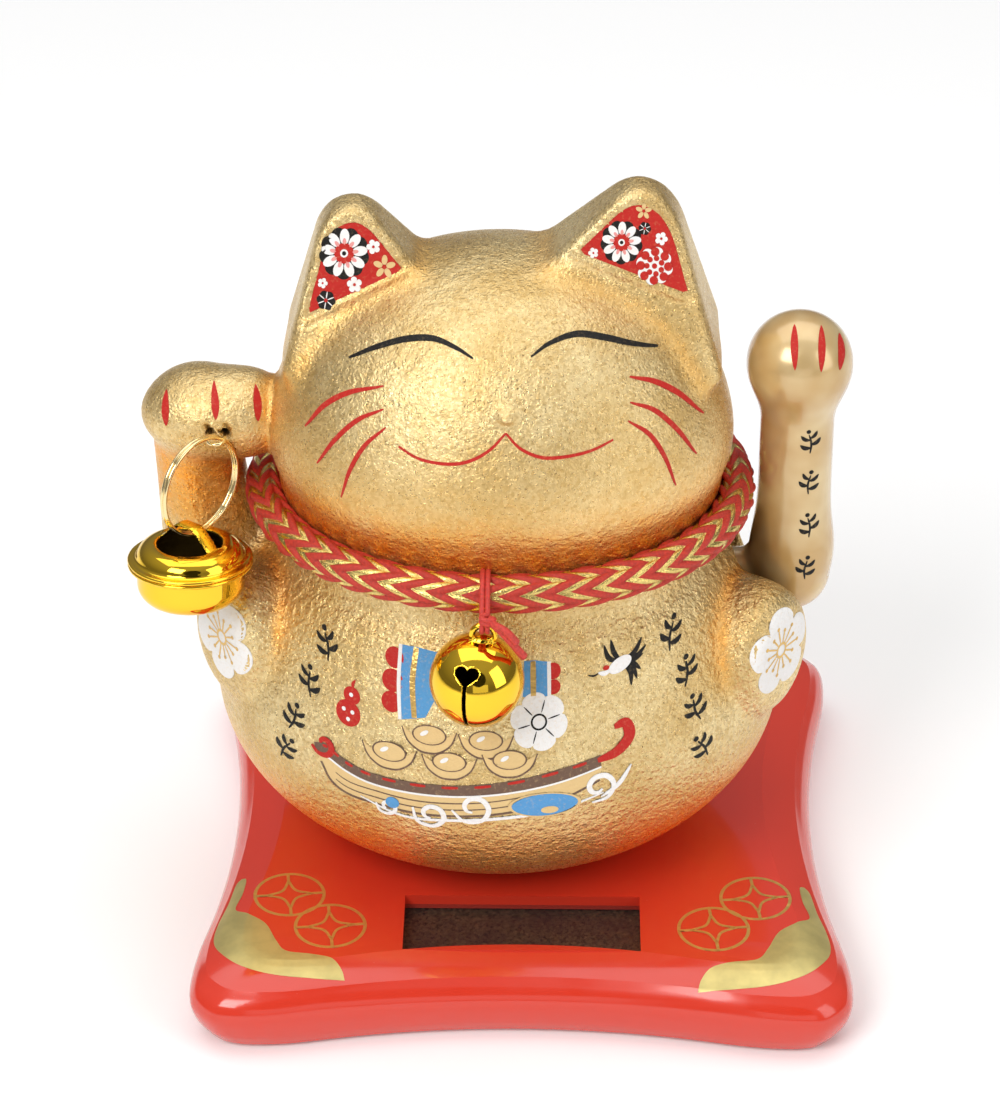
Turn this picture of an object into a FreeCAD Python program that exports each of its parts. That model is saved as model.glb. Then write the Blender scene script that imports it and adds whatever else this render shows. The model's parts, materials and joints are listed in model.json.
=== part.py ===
"""A beckoning cat on a solar base: hollow glazed cat, swinging arm, collar, bells and drive.

Frame: millimetres, +Z up, the cat looks along -Y, origin on the floor under the base's centre.
Every piece is its own object, and every object's Label is the name of its file.
"""

import FreeCAD, Part
import math
import os
import re

import Sketcher

Vector = FreeCAD.Vector
Rotation = FreeCAD.Rotation
Placement = FreeCAD.Placement

# Driving dimensions. They become the cells of the document's sheet, and expressions name them.
SIZES = {
    # base
    "base_width": 110.0,
    "base_corner": 10.7,
    "base_sag": 5.5,
    "base_top": 13.0,
    "base_ceiling": 10.4,
    "base_lip": 0.8,
    "base_cavity": 100.0,
    "base_fit": 0.2,
    "plate_top": 2.8,
    "boss_joint": 4.5,
    "boss_radius": 3.4,
    "boss_reach": 40.5,
    "pad_width": 74.0,
    "screw_radius": 1.25,
    "screw_head": 2.6,
    "screw_head_top": 2.6,
    "window_length": 38.9,
    "window_depth": 14.7,
    "window_y": -35.15,
    "window_recess": 1.75,
    "window_margin": 1.8,
    "window_sheet": 0.8,
    "cell_sheet": 1.2,
    # drive
    "axle_y": 3.0,
    "axle_z": 58.5,
    "axle_radius": 1.0,
    "axle_start": -10.5,
    "axle_end": 36.0,
    "running_gap": 0.05,
    "mech_x": 1.0,
    "post_gap": 15.0,
    "post_sheet": 2.5,
    "post_width": 9.0,
    "bracket_plate": 1.5,
    "bracket_depth": 16.0,
    "ear_reach": 12.5,
    "ear_spacing": 12.5,
    "hub_radius": 2.6,
    "rod_width": 3.0,
    "weight_length": 10.6,
    "weight_width": 8.0,
    "weight_height": 8.0,
    "weight_bottom": 18.3,
    "holder_wall": 1.0,
    "magnet_radius": 3.9,
    "magnet_height": 3.0,
    "board_length": 36.0,
    "board_width": 30.0,
    "board_sheet": 1.2,
    "coil_radius": 8.0,
    "coil_core": 2.6,
    "coil_flange": 0.7,
    "coil_top": 10.2,
    # cat
    "cat_x": -4.0,
    "cat_y": 1.0,
    "cat_floor": 13.8,
    "head_mid": 92.8,
    "head_rise": 27.0,
    "ear_x": 9.5,
    "ear_y": 6.0,
    "ear_z": 14.0,
    "hand_x": 11.3,
    "hand_y": 8.0,
    "hand_z": 7.2,
    "foot_depth": 6.5,
    "foot_x": 12.0,
    "foot_y": 9.4,
    "foot_z": 11.4,
    "wall": 3.5,
    "opening_radius": 19.5,
    "arm_hole": 9.5,
    # collar
    "cord_radius": 3.0,
    "cord_x": 38.5,
    "cord_y": 34.5,
    "cord_z": 77.2,
    "groove_gap": 1.15,
    "thread_radius": 0.4,
    "thread_wrap": 3.5,
    # swinging arm
    "arm_x": 44.6,
    "arm_skin": 1.6,
    "arm_paw": 8.7,
    "arm_paw_z": 96.5,
    "arm_bulb": 7.4,
    "arm_bulb_z": 64.0,
    "arm_bulb_height": 13.0,
    "arm_neck": 6.0,
    # bells
    "bell_radius": 7.5,
    "bell_sheet": 0.5,
    "bell_loop": 1.7,
    "bell_wire": 0.45,
    "bell_x": -5.9,
    "bell_y": -42.2,
    "bell_z": 75.6,
    "basin_radius": 8.7,
    "basin_flange": 10.1,
    "basin_mouth": 5.2,
    "basin_rim": -1.6,
    "basin_seam": -4.6,
    "basin_floor": -11.6,
    "strap_height": 1.35,
    "ring_radius": 8.15,
    "ring_wire": 0.33,
    "link_wire": 0.3,
    "link_spread": 3.4,
}

SIDES = (-1, 1)
RING_CENTRE = Vector(-51.7, -16.3, 85.1)
RING_TURN = 50.0
HANG_ANGLE = 20.0
LINK_POINT = Vector(-49.7, -12.9, 92.8)
LINK_ROOT = 6.0
LINK_DIP = 20.0
BASIN_LEAN = -6.0
BELL_LEAN = 7.0

doc = FreeCAD.newDocument("BeckoningCat")
sheet = doc.addObject("Spreadsheet::Sheet", "Sizes")
pieces = []


def fill_sheet():
    """Write one named cell for each driving dimension."""
    for row, (alias, value) in enumerate(SIZES.items(), start=1):
        sheet.set(f"A{row}", alias)
        sheet.set(f"B{row}", str(value))
        sheet.setAlias(f"B{row}", alias)
    doc.recompute()


def size(alias):
    """A dimension as it stands in the sheet."""
    return float(sheet.get(alias))


def refer(text):
    """Put the sheet's name before every dimension in an expression."""
    def named(word):
        return "Sizes." + word[0] if word[0] in SIZES else word[0]
    return re.sub(r"[a-z_]+", named, str(text))


def value(text):
    """The number that an expression of dimensions gives."""
    result = sheet.evalExpression(refer(text))
    return float(getattr(result, "Value", result))


def bind(thing, **properties):
    """Bind an object's properties to expressions."""
    for name, text in properties.items():
        thing.setExpression(name, refer(text))
    return thing


def put(thing, x=0, y=0, z=0, turn=None):
    """Place an object at three expressions, with an optional rotation."""
    thing.Placement = Placement(Vector(value(x), value(y), value(z)), turn or Rotation())
    for axis, text in zip("xyz", (x, y, z)):
        thing.setExpression(f"Placement.Base.{axis}", refer(text))
    return thing


def finish(thing, label):
    """Name a finished sub-part."""
    thing.Label = label
    pieces.append(thing)
    return thing


# ---------------------------------------------------------------- solids from primitives

def box(length, width, height, x, y, z):
    """A box whose x and y are its middle and whose z is its underside."""
    thing = bind(doc.addObject("Part::Box", "Block"), Length=length, Width=width, Height=height)
    return put(thing, f"{x} - ({length}) / 2", f"{y} - ({width}) / 2", z)


def cylinder(radius, height, x, y, z, turn=None):
    thing = bind(doc.addObject("Part::Cylinder", "Round"), Radius=radius, Height=height)
    return put(thing, x, y, z, turn)


def cone(lower, upper, height, x, y, z, turn=None):
    thing = bind(doc.addObject("Part::Cone", "Taper"), Radius1=lower, Radius2=upper, Height=height)
    return put(thing, x, y, z, turn)


def ball(radius, x, y, z):
    return put(bind(doc.addObject("Part::Sphere", "Ball"), Radius=radius), x, y, z)


def egg(across, deep, tall, x, y, z, turn=None):
    """An ellipsoid with its half-sizes along X, Y and Z."""
    thing = bind(doc.addObject("Part::Ellipsoid", "Egg"), Radius1=tall, Radius2=across, Radius3=deep)
    return put(thing, x, y, z, turn)


def ring(major, minor, x, y, z, turn=None):
    thing = bind(doc.addObject("Part::Torus", "Hoop"), Radius1=major, Radius2=minor)
    return put(thing, x, y, z, turn)


def fuse(*shapes):
    thing = doc.addObject("Part::MultiFuse", "Union")
    thing.Shapes = list(shapes)
    return thing


def cut(base, *tools):
    thing = doc.addObject("Part::Cut", "Difference")
    thing.Base = base
    thing.Tool = tools[0] if len(tools) == 1 else fuse(*tools)
    return thing


def common(first, second):
    thing = doc.addObject("Part::MultiCommon", "Overlap")
    thing.Shapes = [first, second]
    return thing


def compound(*shapes):
    thing = doc.addObject("Part::Compound", "Group")
    thing.Links = list(shapes)
    return thing


# ---------------------------------------------------------------- solids from sketches

def new_body(label):
    thing = doc.addObject("PartDesign::Body", label)
    return finish(thing, label)


def new_sketch(body, role, offset=0):
    """A sketch on one of the body's own origin planes, moved along its normal."""
    plane = next(item for item in body.Origin.OriginFeatures if item.Role == role)
    thing = body.newObject("Sketcher::SketchObject", "Profile")
    thing.AttachmentSupport = [(plane, "")]
    thing.MapMode = "FlatFace"
    thing.AttachmentOffset = Placement(Vector(0, 0, value(offset)), Rotation())
    thing.setExpression("AttachmentOffset.Base.z", refer(offset))
    return thing


def hold_point(profile, geometry, corner, x, y):
    """Tie one point of a sketch to two expressions."""
    for kind, text in (("DistanceX", x), ("DistanceY", y)):
        index = profile.addConstraint(Sketcher.Constraint(kind, geometry, corner, value(text)))
        profile.setExpression(f"Constraints[{index}]", refer(text))


def draw_outline(profile, points):
    """A closed outline of straight lines through points given as pairs of expressions."""
    places = [Vector(value(x), value(y), 0) for x, y in points]
    first = profile.GeometryCount
    count = len(points)
    for index in range(count):
        profile.addGeometry(Part.LineSegment(places[index], places[(index + 1) % count]), False)
    for index in range(count):
        after = first + (index + 1) % count
        profile.addConstraint(Sketcher.Constraint("Coincident", first + index, 2, after, 1))
    for index, (x, y) in enumerate(points):
        hold_point(profile, first + index, 1, x, y)


def draw_circle(profile, radius, x, y):
    centre = Vector(value(x), value(y), 0)
    circle = Part.Circle(centre, Vector(0, 0, 1), value(radius))
    geometry = profile.addGeometry(circle, False)
    index = profile.addConstraint(Sketcher.Constraint("Radius", geometry, value(radius)))
    profile.setExpression(f"Constraints[{index}]", refer(radius))
    hold_point(profile, geometry, 3, x, y)


def rectangle(profile, length, width, x=0, y=0):
    low_x, high_x = f"{x} - ({length}) / 2", f"{x} + ({length}) / 2"
    low_y, high_y = f"{y} - ({width}) / 2", f"{y} + ({width}) / 2"
    draw_outline(profile, [(low_x, low_y), (high_x, low_y), (high_x, high_y), (low_x, high_y)])


def extrude(body, kind, profile, length, backwards=False):
    """A Pad or a Pocket. A Pad runs along the sketch's normal, and a Pocket runs against it."""
    thing = body.newObject(f"PartDesign::{kind}", kind)
    thing.Profile = profile
    thing.Reversed = backwards
    bind(thing, Length=length)
    doc.recompute()
    return thing


def revolve(body, profile):
    thing = body.newObject("PartDesign::Revolution", "Revolution")
    thing.Profile = profile
    thing.ReferenceAxis = (profile, ["V_Axis"])
    thing.Angle = 360.0
    doc.recompute()
    return thing


def pipe(body, path, profile):
    thing = body.newObject("PartDesign::AdditivePipe", "Pipe")
    thing.Profile = profile
    thing.Spine = path
    doc.recompute()
    return thing


# ---------------------------------------------------------------- base

def base_wire(width, corner, z):
    """The base's plan: round corners joined by sides that curve inwards."""
    reach = width / 2 - corner
    middle = width / 2 - size("base_sag")
    inset = middle - reach
    curve = (reach ** 2 + inset ** 2 - corner ** 2) / (2 * (corner - inset))
    touch = corner / (corner + curve)
    join_x = reach * (1 - touch)
    join_y = reach + (middle + curve - reach) * touch
    edges = []
    for quarter in range(4):
        spin = Rotation(Vector(0, 0, 1), 90 * quarter)
        side = [Vector(join_x, -join_y, z), Vector(0, -middle, z), Vector(-join_x, -join_y, z)]
        diagonal = reach + corner / math.sqrt(2)
        bend = [Vector(-join_x, -join_y, z), Vector(-diagonal, -diagonal, z)]
        bend.append(Vector(-join_y, -join_x, z))
        for points in (side, bend):
            edges.append(Part.Arc(*[spin.multVec(point) for point in points]).toShape())
    return Part.Wire(Part.__sortEdges__(edges))


def base_slab(levels):
    """A solid through base plans, each level a width and a height."""
    scale = size("base_corner") / size("base_width")
    wires = [base_wire(width, scale * width, z) for width, z in levels]
    return Part.makeLoft(wires, True, len(levels) > 2)


def corners(reach_x, reach_y):
    return [(sx * reach_x, sy * reach_y) for sx in SIDES for sy in SIDES]


def base_cover():
    """The red moulded cover: rolled wall, sloping border, window and four screw bosses."""
    width = size("base_width")
    top = size("base_top")
    lip = size("base_lip")
    ceiling = size("base_ceiling")
    levels = [(width - 3.8, lip), (width - 1.2, 3.4), (width, 6.5)]
    levels += [(width - 1.6, 9.0), (width - 5.4, 10.9), (width - 17.0, top)]
    cavity = size("base_cavity")
    shape = base_slab(levels).cut(base_slab([(cavity, lip - 1), (cavity, ceiling)]))
    joint = size("boss_joint")
    for x, y in corners(size("boss_reach"), size("boss_reach")):
        shape = shape.fuse(Part.makeCylinder(size("boss_radius"), ceiling - joint, Vector(x, y, joint)))
        shape = shape.cut(Part.makeCylinder(size("screw_radius"), ceiling - joint, Vector(x, y, joint)))
    length = size("window_length")
    depth = size("window_depth")
    corner = Vector(-length / 2, size("window_y") - depth / 2, ceiling - 1)
    shape = shape.cut(Part.makeBox(length, depth, top, corner))
    for side in SIDES:
        place = Vector(size("mech_x"), size("axle_y") + side * size("ear_spacing"), ceiling - 1)
        shape = shape.cut(Part.makeCylinder(size("screw_radius"), top, place))
    thing = doc.addObject("Part::Feature", "Cover")
    thing.Shape = shape
    finish(thing, "base_cover")


def base_bottom():
    """The plate that closes the base, with screw bosses and posts for the circuit board."""
    width = size("base_cavity") - 2 * size("base_fit")
    lip = size("base_lip")
    top = size("plate_top")
    joint = size("boss_joint")
    shape = base_slab([(width, lip), (width, top)])
    for x, y in corners(size("boss_reach"), size("boss_reach")):
        shape = shape.fuse(Part.makeCylinder(size("boss_radius"), joint - top, Vector(x, y, top)))
        shape = shape.cut(Part.makeCylinder(size("screw_radius") + 0.25, joint, Vector(x, y, 0)))
        head = Part.makeCylinder(size("screw_head") + 0.3, size("screw_head_top"), Vector(x, y, 0))
        shape = shape.cut(head)
    for x, y in board_holes():
        shape = shape.fuse(Part.makeCylinder(2.4, joint - top, Vector(x, y, top)))
        shape = shape.cut(Part.makeCylinder(0.9, joint - 1.4, Vector(x, y, 1.4)))
    thing = doc.addObject("Part::Feature", "Plate")
    thing.Shape = shape
    finish(thing, "base_bottom")


def board_holes():
    """Where the two board screws stand, on one diagonal of the board."""
    reach_x = size("board_length") / 2 - 3
    reach_y = size("board_width") / 2 - 3
    return [(size("mech_x") + side * reach_x, size("axle_y") + side * reach_y) for side in SIDES]


def screw(radius, head_radius, head_height, length, x, y, z, upwards=True):
    """A pan-head screw with its head's outer face at z."""
    shank_z = f"{z} + {head_height}" if upwards else f"{z} - {head_height} - {length}"
    head_z = z if upwards else f"{z} - {head_height}"
    head = cylinder(head_radius, head_height, x, y, head_z)
    return fuse(head, cylinder(f"{radius} - 0.02", length, x, y, shank_z))


def base_screws():
    heads = []
    for sx, sy in corners(1, 1):
        x, y = f"{sx} * boss_reach", f"{sy} * boss_reach"
        heads.append(screw("screw_radius", "screw_head", "1.5", "6.4", x, y, "screw_head_top - 1.5"))
    finish(compound(*heads), "base_screws")


def rest_pad():
    """The thin anti-slip foam sheet under the plate."""
    width = size("pad_width")
    thing = doc.addObject("Part::Feature", "Foam")
    thing.Shape = base_slab([(width, 0.0), (width, size("base_lip"))])
    finish(thing, "rest_pad")


def solar_window():
    """A clear sheet glued under the cover, with a raised field that fills the opening."""
    body = new_body("solar_window")
    field = new_sketch(body, "XY_Plane", "base_ceiling - window_sheet")
    rectangle(field, "window_length + 2 * window_margin", "window_depth + 2 * window_margin", 0,
              "window_y")
    extrude(body, "Pad", field, "window_sheet")
    raised = new_sketch(body, "XY_Plane", "base_ceiling - window_sheet")
    rectangle(raised, "window_length - 0.1", "window_depth - 0.1", 0, "window_y")
    extrude(body, "Pad", raised, "base_top - window_recess - base_ceiling + window_sheet")


def solar_cell():
    body = new_body("solar_cell")
    field = new_sketch(body, "XY_Plane", "base_ceiling - window_sheet - cell_sheet")
    rectangle(field, "window_length + 2", "window_depth + 2", 0, "window_y")
    extrude(body, "Pad", field, "cell_sheet")


def circuit_board():
    body = new_body("circuit_board")
    field = new_sketch(body, "XY_Plane", "boss_joint")
    rectangle(field, "board_length", "board_width", "mech_x", "axle_y")
    for side in SIDES:
        draw_circle(field, "1.1", f"mech_x + {side} * (board_length / 2 - 3)",
                    f"axle_y + {side} * (board_width / 2 - 3)")
    extrude(body, "Pad", field, "board_sheet")


def board_screws():
    top = "boss_joint + board_sheet"
    heads = [screw("0.9", "1.9", "1.0", "3.2", f"mech_x + {side} * (board_length / 2 - 3)",
                   f"axle_y + {side} * (board_width / 2 - 3)", f"{top} + 1", upwards=False)
             for side in SIDES]
    finish(compound(*heads), "board_screws")


def coil():
    """The bobbin and its winding, standing on the board under the magnet."""
    board = "(boss_joint + board_sheet)"
    bobbin = new_body("coil_bobbin")
    profile = new_sketch(bobbin, "XZ_Plane")
    rim = "coil_radius"
    core = "coil_core"
    draw_outline(profile, [
        ("1", board), (rim, board), (rim, f"{board} + coil_flange"),
        (core, f"{board} + coil_flange"), (core, "coil_top - coil_flange"),
        (rim, "coil_top - coil_flange"), (rim, "coil_top"), ("1", "coil_top")])
    revolve(bobbin, profile)
    put(bobbin, "mech_x", "axle_y", 0)
    winding = new_body("coil_winding")
    profile = new_sketch(winding, "XZ_Plane")
    rectangle(profile, "coil_radius - coil_core - 0.5", f"coil_top - {board} - 2 * coil_flange",
              "(coil_radius + coil_core - 0.5) / 2", f"(coil_top + {board}) / 2")
    revolve(winding, profile)
    put(winding, "mech_x", "axle_y", 0)


def board_parts():
    """The capacitor lies on the board beside the coil, and the chip is on the other side."""
    board = "boss_joint + board_sheet"
    along = Rotation(Vector(1, 0, 0), -90)
    capacitor = cylinder("2.2", "10", "mech_x + 13.5", "axle_y - 7", f"{board} + 2.2", along)
    finish(capacitor, "storage_capacitor")
    finish(box("4", "5", "1.6", "mech_x - 13", "axle_y + 2", board), "driver_chip")


def cell_wires():
    """Two insulated wires from the cell's back down to the board's front edge."""
    wires = []
    for side in SIDES:
        start = Vector(side * 4, size("window_y") + 3, size("base_ceiling") - 2.4)
        end = Vector(side * 4, size("axle_y") - size("board_width") / 2 + 2.4, 6.4)
        bend = Vector(side * 4, (start.y + end.y) / 2, 7.4)
        curve = Part.BSplineCurve()
        curve.interpolate([start, bend, end])
        spine = Part.Wire([curve.toShape()])
        circle = Part.Circle(start, curve.tangent(0)[0], 0.4)
        wires.append(spine.makePipeShell([Part.Wire([circle.toShape()])], True, True))
    thing = doc.addObject("Part::Feature", "Wires")
    thing.Shape = Part.makeCompound([Part.Solid(item) if item.ShapeType == "Shell" else item
                                     for item in wires])
    finish(thing, "cell_wires")


def seat_ring():
    """The foam ring that beds the cat on the cover."""
    outer = cylinder("opening_radius + 1.8", "cat_floor - base_top", "cat_x + 2", "cat_y + 1", "base_top")
    inner = cylinder("opening_radius + 0.3", "cat_floor", "cat_x + 2", "cat_y + 1", "base_top - 1")
    finish(cut(outer, inner), "seat_ring")


# ---------------------------------------------------------------- drive inside the cat

ALONG_X = Rotation(Vector(0, 1, 0), 90)


def pivot_bracket():
    """A floor plate with two screw ears and two posts that carry the axle."""
    body = new_body("pivot_bracket")
    length = "post_gap + 2 * post_sheet"
    floor = new_sketch(body, "XY_Plane", "base_top")
    rectangle(floor, length, "bracket_depth", "mech_x", "axle_y")
    extrude(body, "Pad", floor, "bracket_plate")
    ears = new_sketch(body, "XY_Plane", "base_top")
    rectangle(ears, "7", "2 * (ear_spacing + 3)", "mech_x", "axle_y")
    extrude(body, "Pad", ears, "bracket_plate")
    for side in SIDES:
        start = "mech_x + post_gap / 2" if side > 0 else "mech_x - post_gap / 2 - post_sheet"
        post = new_sketch(body, "YZ_Plane", start)
        half = "post_width / 2"
        draw_outline(post, [
            (f"axle_y - {half} - 2", "base_top"), (f"axle_y + {half} + 2", "base_top"),
            (f"axle_y + {half} / 1.3", "axle_z + 3"), (f"axle_y - {half} / 1.3", "axle_z + 3")])
        extrude(body, "Pad", post, "post_sheet")
    bore = new_sketch(body, "YZ_Plane", "mech_x + post_gap")
    draw_circle(bore, "axle_radius + running_gap", "axle_y", "axle_z")
    extrude(body, "Pocket", bore, "post_gap * 3")
    holes = new_sketch(body, "XY_Plane", "base_top + bracket_plate + 1")
    for side in SIDES:
        draw_circle(holes, "screw_radius", "mech_x", f"axle_y + {side} * ear_spacing")
    extrude(body, "Pocket", holes, "bracket_plate + 3")


def bracket_screws():
    """Two screws from under the cover's ceiling into the bracket's ears."""
    heads = [screw("screw_radius", "2.2", "1.2", "base_top - base_ceiling + bracket_plate",
                   "mech_x", f"axle_y + {side} * ear_spacing", "base_ceiling - 1.2")
             for side in SIDES]
    finish(compound(*heads), "bracket_screws")


def arm_axle():
    axle = cylinder("axle_radius", "axle_end - axle_start", "axle_start", "axle_y", "axle_z", ALONG_X)
    finish(axle, "arm_axle")


def axle_clips():
    """Two spring clips, one outside each post."""
    clips = []
    for start in ("mech_x - post_gap / 2 - post_sheet - 1.0", "mech_x + post_gap / 2 + post_sheet + 0.2"):
        disc = cylinder("2.3", "0.8", start, "axle_y", "axle_z", ALONG_X)
        bore = cylinder("axle_radius", "3", f"{start} - 1", "axle_y", "axle_z", ALONG_X)
        clips.append(cut(disc, bore))
    finish(compound(*clips), "axle_clips")


def pendulum_lever():
    """A hub on the axle, a rod, and an open box at the rod's foot for the weight."""
    body = new_body("pendulum_lever")
    hub = new_sketch(body, "YZ_Plane", "mech_x - post_gap / 2 + 0.2")
    draw_circle(hub, "hub_radius", "axle_y", "axle_z")
    extrude(body, "Pad", hub, "post_gap - 0.4")
    rod = new_sketch(body, "XY_Plane", "weight_bottom + weight_height")
    rectangle(rod, "rod_width", "rod_width", "mech_x", "axle_y")
    extrude(body, "Pad", rod, "axle_z - weight_bottom - weight_height")
    holder = new_sketch(body, "XY_Plane", "weight_bottom")
    rectangle(holder, "weight_length + 2 * holder_wall", "weight_width + 2 * holder_wall",
              "mech_x", "axle_y")
    extrude(body, "Pad", holder, "weight_height + holder_wall")
    pocket = new_sketch(body, "XY_Plane", "weight_bottom")
    rectangle(pocket, "weight_length", "weight_width", "mech_x", "axle_y")
    extrude(body, "Pocket", pocket, "weight_height", backwards=True)
    bore = new_sketch(body, "YZ_Plane", "mech_x + post_gap")
    draw_circle(bore, "axle_radius", "axle_y", "axle_z")
    extrude(body, "Pocket", bore, "post_gap * 2")


def pendulum_load():
    weight = box("weight_length", "weight_width", "weight_height", "mech_x", "axle_y", "weight_bottom")
    finish(weight, "pendulum_weight")
    magnet = cylinder("magnet_radius", "magnet_height", "mech_x", "axle_y",
                      "weight_bottom - magnet_height")
    finish(magnet, "pendulum_magnet")


# ---------------------------------------------------------------- cat

def towards(direction):
    return Rotation(Vector(0, 0, 1), direction)


def segment(lower, upper, radius_low, radius_high):
    """A taper between two points of the frame."""
    span = upper - lower
    return cone(radius_low, radius_high, span.Length, lower.x, lower.y, lower.z, towards(span))


def foot(side, x, z):
    """A plump foot that faces outwards and forwards, with a flat sole."""
    facing = Vector(side * 0.8, -0.6, 0)
    turn = Rotation(facing, Vector(0.6, side * 0.8, 0), Vector(0, 0, 1), "XZY")
    sole = Vector(x, -15.5, z)
    centre = sole - facing * size("foot_depth")
    plump = egg("foot_x", "foot_y", "foot_z", centre.x, centre.y, centre.z, turn)
    beyond = bind(doc.addObject("Part::Box", "Beyond"), Length="20", Width="40", Height="40")
    beyond.Placement = Placement(sole - turn.multVec(Vector(0, 20, 20)), turn)
    return cut(plump, beyond)


# The cat's trunk, from the floor to the crown: height, half-width and half-depth of each section.
TORSO_LEVELS = [(0.0, 24.2, 22.0), (5.5, 33.9, 30.7), (13.0, 41.4, 37.5), (22.0, 45.8, 41.4),
                (31.0, 46.3, 41.9), (41.0, 43.5, 39.0), (49.0, 40.3, 35.6), (56.0, 35.8, 32.2)]
HEAD_LEVELS = [(-12.0, 34.4, 29.7), (-5.5, 37.0, 31.9), (1.0, 36.7, 31.4), (8.5, 34.0, 28.6),
               (15.5, 29.2, 24.3), (21.5, 21.5, 17.9), (25.5, 11.6, 9.6), (26.8, 4.6, 3.8)]


def oval(across, deep, y, z):
    """An elliptical section of the trunk."""
    thing = bind(doc.addObject("Part::Ellipse", "Section"), MajorRadius=across, MinorRadius=deep)
    return put(thing, "cat_x", y, z)


def trunk(inset):
    """Torso, neck and head as one skin, taken in by an inset."""
    sections = []
    for rise, across, deep in TORSO_LEVELS:
        sections.append(oval(f"{across} - {inset}", f"{deep} - {inset}", "cat_y", f"cat_floor + {rise}"))
    for rise, across, deep in HEAD_LEVELS:
        sections.append(oval(f"{across} - {inset}", f"{deep} - {inset}", "cat_y - 3",
                             f"head_mid + {rise} * (1 - {inset} / head_rise)"))
    skin = doc.addObject("Part::Loft", "Trunk")
    skin.Sections = sections
    skin.Solid = True
    skin.Ruled = False
    return skin


def cat_outside():
    """The trunk with its ears, its fixed arm and hand, and its two feet."""
    upright = Vector(0, 1, 0)
    left_ear = egg("ear_x", "ear_y", "ear_z", "cat_x - 22", 0, 114.5, Rotation(upright, -16))
    right_ear = egg("ear_x", "ear_y", "ear_z", "cat_x + 20", 0, 117.5, Rotation(upright, 14))
    elbow = Vector(-44, 3, 52)
    wrist = Vector(-53.6, 2, 89)
    forearm = segment(elbow, wrist, 10.0, 7.4)
    knuckle = ball("7.4", wrist.x, wrist.y, wrist.z)
    hand = egg("hand_x", "hand_y", "hand_z", -50.6, -2.5, 91.0)
    return fuse(trunk("0"), left_ear, right_ear, forearm, knuckle, hand,
                foot(-1, -49.6, 54.8), foot(1, 42.0, 52.8))


def cat_hollow():
    """The space inside, down to the floor's own thickness."""
    floor = box("120", "120", "40", "cat_x", "cat_y", "cat_floor + wall - 40")
    return cut(trunk("wall"), floor)


def cord_groove():
    """The ring-shaped space that the collar lies in, a little wider than the cord."""
    body = doc.addObject("PartDesign::Body", "Groove")
    cord_sweep(body, "cord_radius + groove_gap")
    return body


def cat_body():
    """The slip-cast cat: one hollow shell with its fixed arm, ears and feet."""
    opening = cylinder("opening_radius", "20", "cat_x + 2", "cat_y + 1", "cat_floor - 5")
    arm_hole = cylinder("arm_hole", "40", "28", "axle_y", "axle_z", ALONG_X)
    drills = []
    for side in SIDES:
        start = LINK_POINT + Vector(side * size("link_spread") / 2, 0, 0) - link_facing() * LINK_ROOT
        drills.append(cylinder("link_wire + 0.05", "9", start.x, start.y, start.z, towards(link_facing())))
    shell = cut(cat_outside(), cat_hollow(), opening, arm_hole, cord_groove(), *drills)
    finish(shell, "cat_body")


# ---------------------------------------------------------------- collar

def cord_sweep(body, radius):
    """A round cord along the collar's oval, added to a body."""
    path = new_sketch(body, "XY_Plane")
    centre = Vector(0, 0, 0)
    far = Vector(size("cord_x"), 0, 0)
    side = Vector(0, size("cord_y"), 0)
    path.addGeometry(Part.Ellipse(far, side, centre), False)
    section = new_sketch(body, "XZ_Plane")
    draw_circle(section, radius, "cord_x", 0)
    pipe(body, path, section)
    put(body, "cat_x", "cat_y - 2", "cord_z")


def collar_cord():
    cord_sweep(new_body("collar_cord"), "cord_radius")


def bell_thread():
    """A closed thread that wraps the cord and the neck bell's loop, in one upright plane."""
    body = new_body("bell_thread")
    near = Vector(size("cat_y") - 2 - size("cord_y"), size("cord_z"), 0)
    far = Vector(size("bell_y"), size("bell_z"), 0)
    wrap = size("thread_wrap")
    small = 1.0
    span = far - near
    lean = math.atan2(span.y, span.x)
    open_angle = math.acos((wrap - small) / span.Length)
    path = new_sketch(body, "YZ_Plane")
    ends = []
    for sign in SIDES:
        angle = lean + sign * open_angle
        outward = Vector(math.cos(angle), math.sin(angle), 0)
        ends.append((near + outward * wrap, far + outward * small))
    along = Vector(math.cos(lean), math.sin(lean), 0)
    path.addGeometry(Part.LineSegment(ends[0][0], ends[0][1]), False)
    path.addGeometry(Part.Arc(ends[0][1], far + along * small, ends[1][1]), False)
    path.addGeometry(Part.LineSegment(ends[1][1], ends[1][0]), False)
    path.addGeometry(Part.Arc(ends[1][0], near - along * wrap, ends[0][0]), False)
    section = body.newObject("Sketcher::SketchObject", "Section")
    middle = (ends[0][0] + ends[0][1]) / 2
    tangent = (ends[0][1] - ends[0][0]).normalize()
    facing = Rotation(Vector(0, 0, 1), Vector(0, tangent.x, tangent.y))
    section.Placement = Placement(Vector(0, middle.x, middle.y), facing)
    draw_circle(section, "thread_radius", 0, 0)
    pipe(body, path, section)
    put(body, "bell_x", 0, 0)


# ---------------------------------------------------------------- swinging arm

def arm_form(inset):
    """The swinging arm's plump outline, taken in by an inset."""
    paw = egg(f"arm_paw - {inset}", f"arm_paw - {inset}", f"arm_paw - {inset}", "arm_x", "axle_y",
              "arm_paw_z")
    shaft = cone(f"arm_bulb - {inset} - 0.2", f"arm_neck - {inset}", "arm_paw_z - arm_bulb_z - 4",
                 "arm_x", "axle_y", "arm_bulb_z")
    bulb = egg(f"arm_bulb - {inset}", f"arm_bulb - {inset}", f"arm_bulb_height - {inset}", "arm_x",
               "axle_y", "arm_bulb_z")
    return fuse(paw, shaft, bulb)


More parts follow.
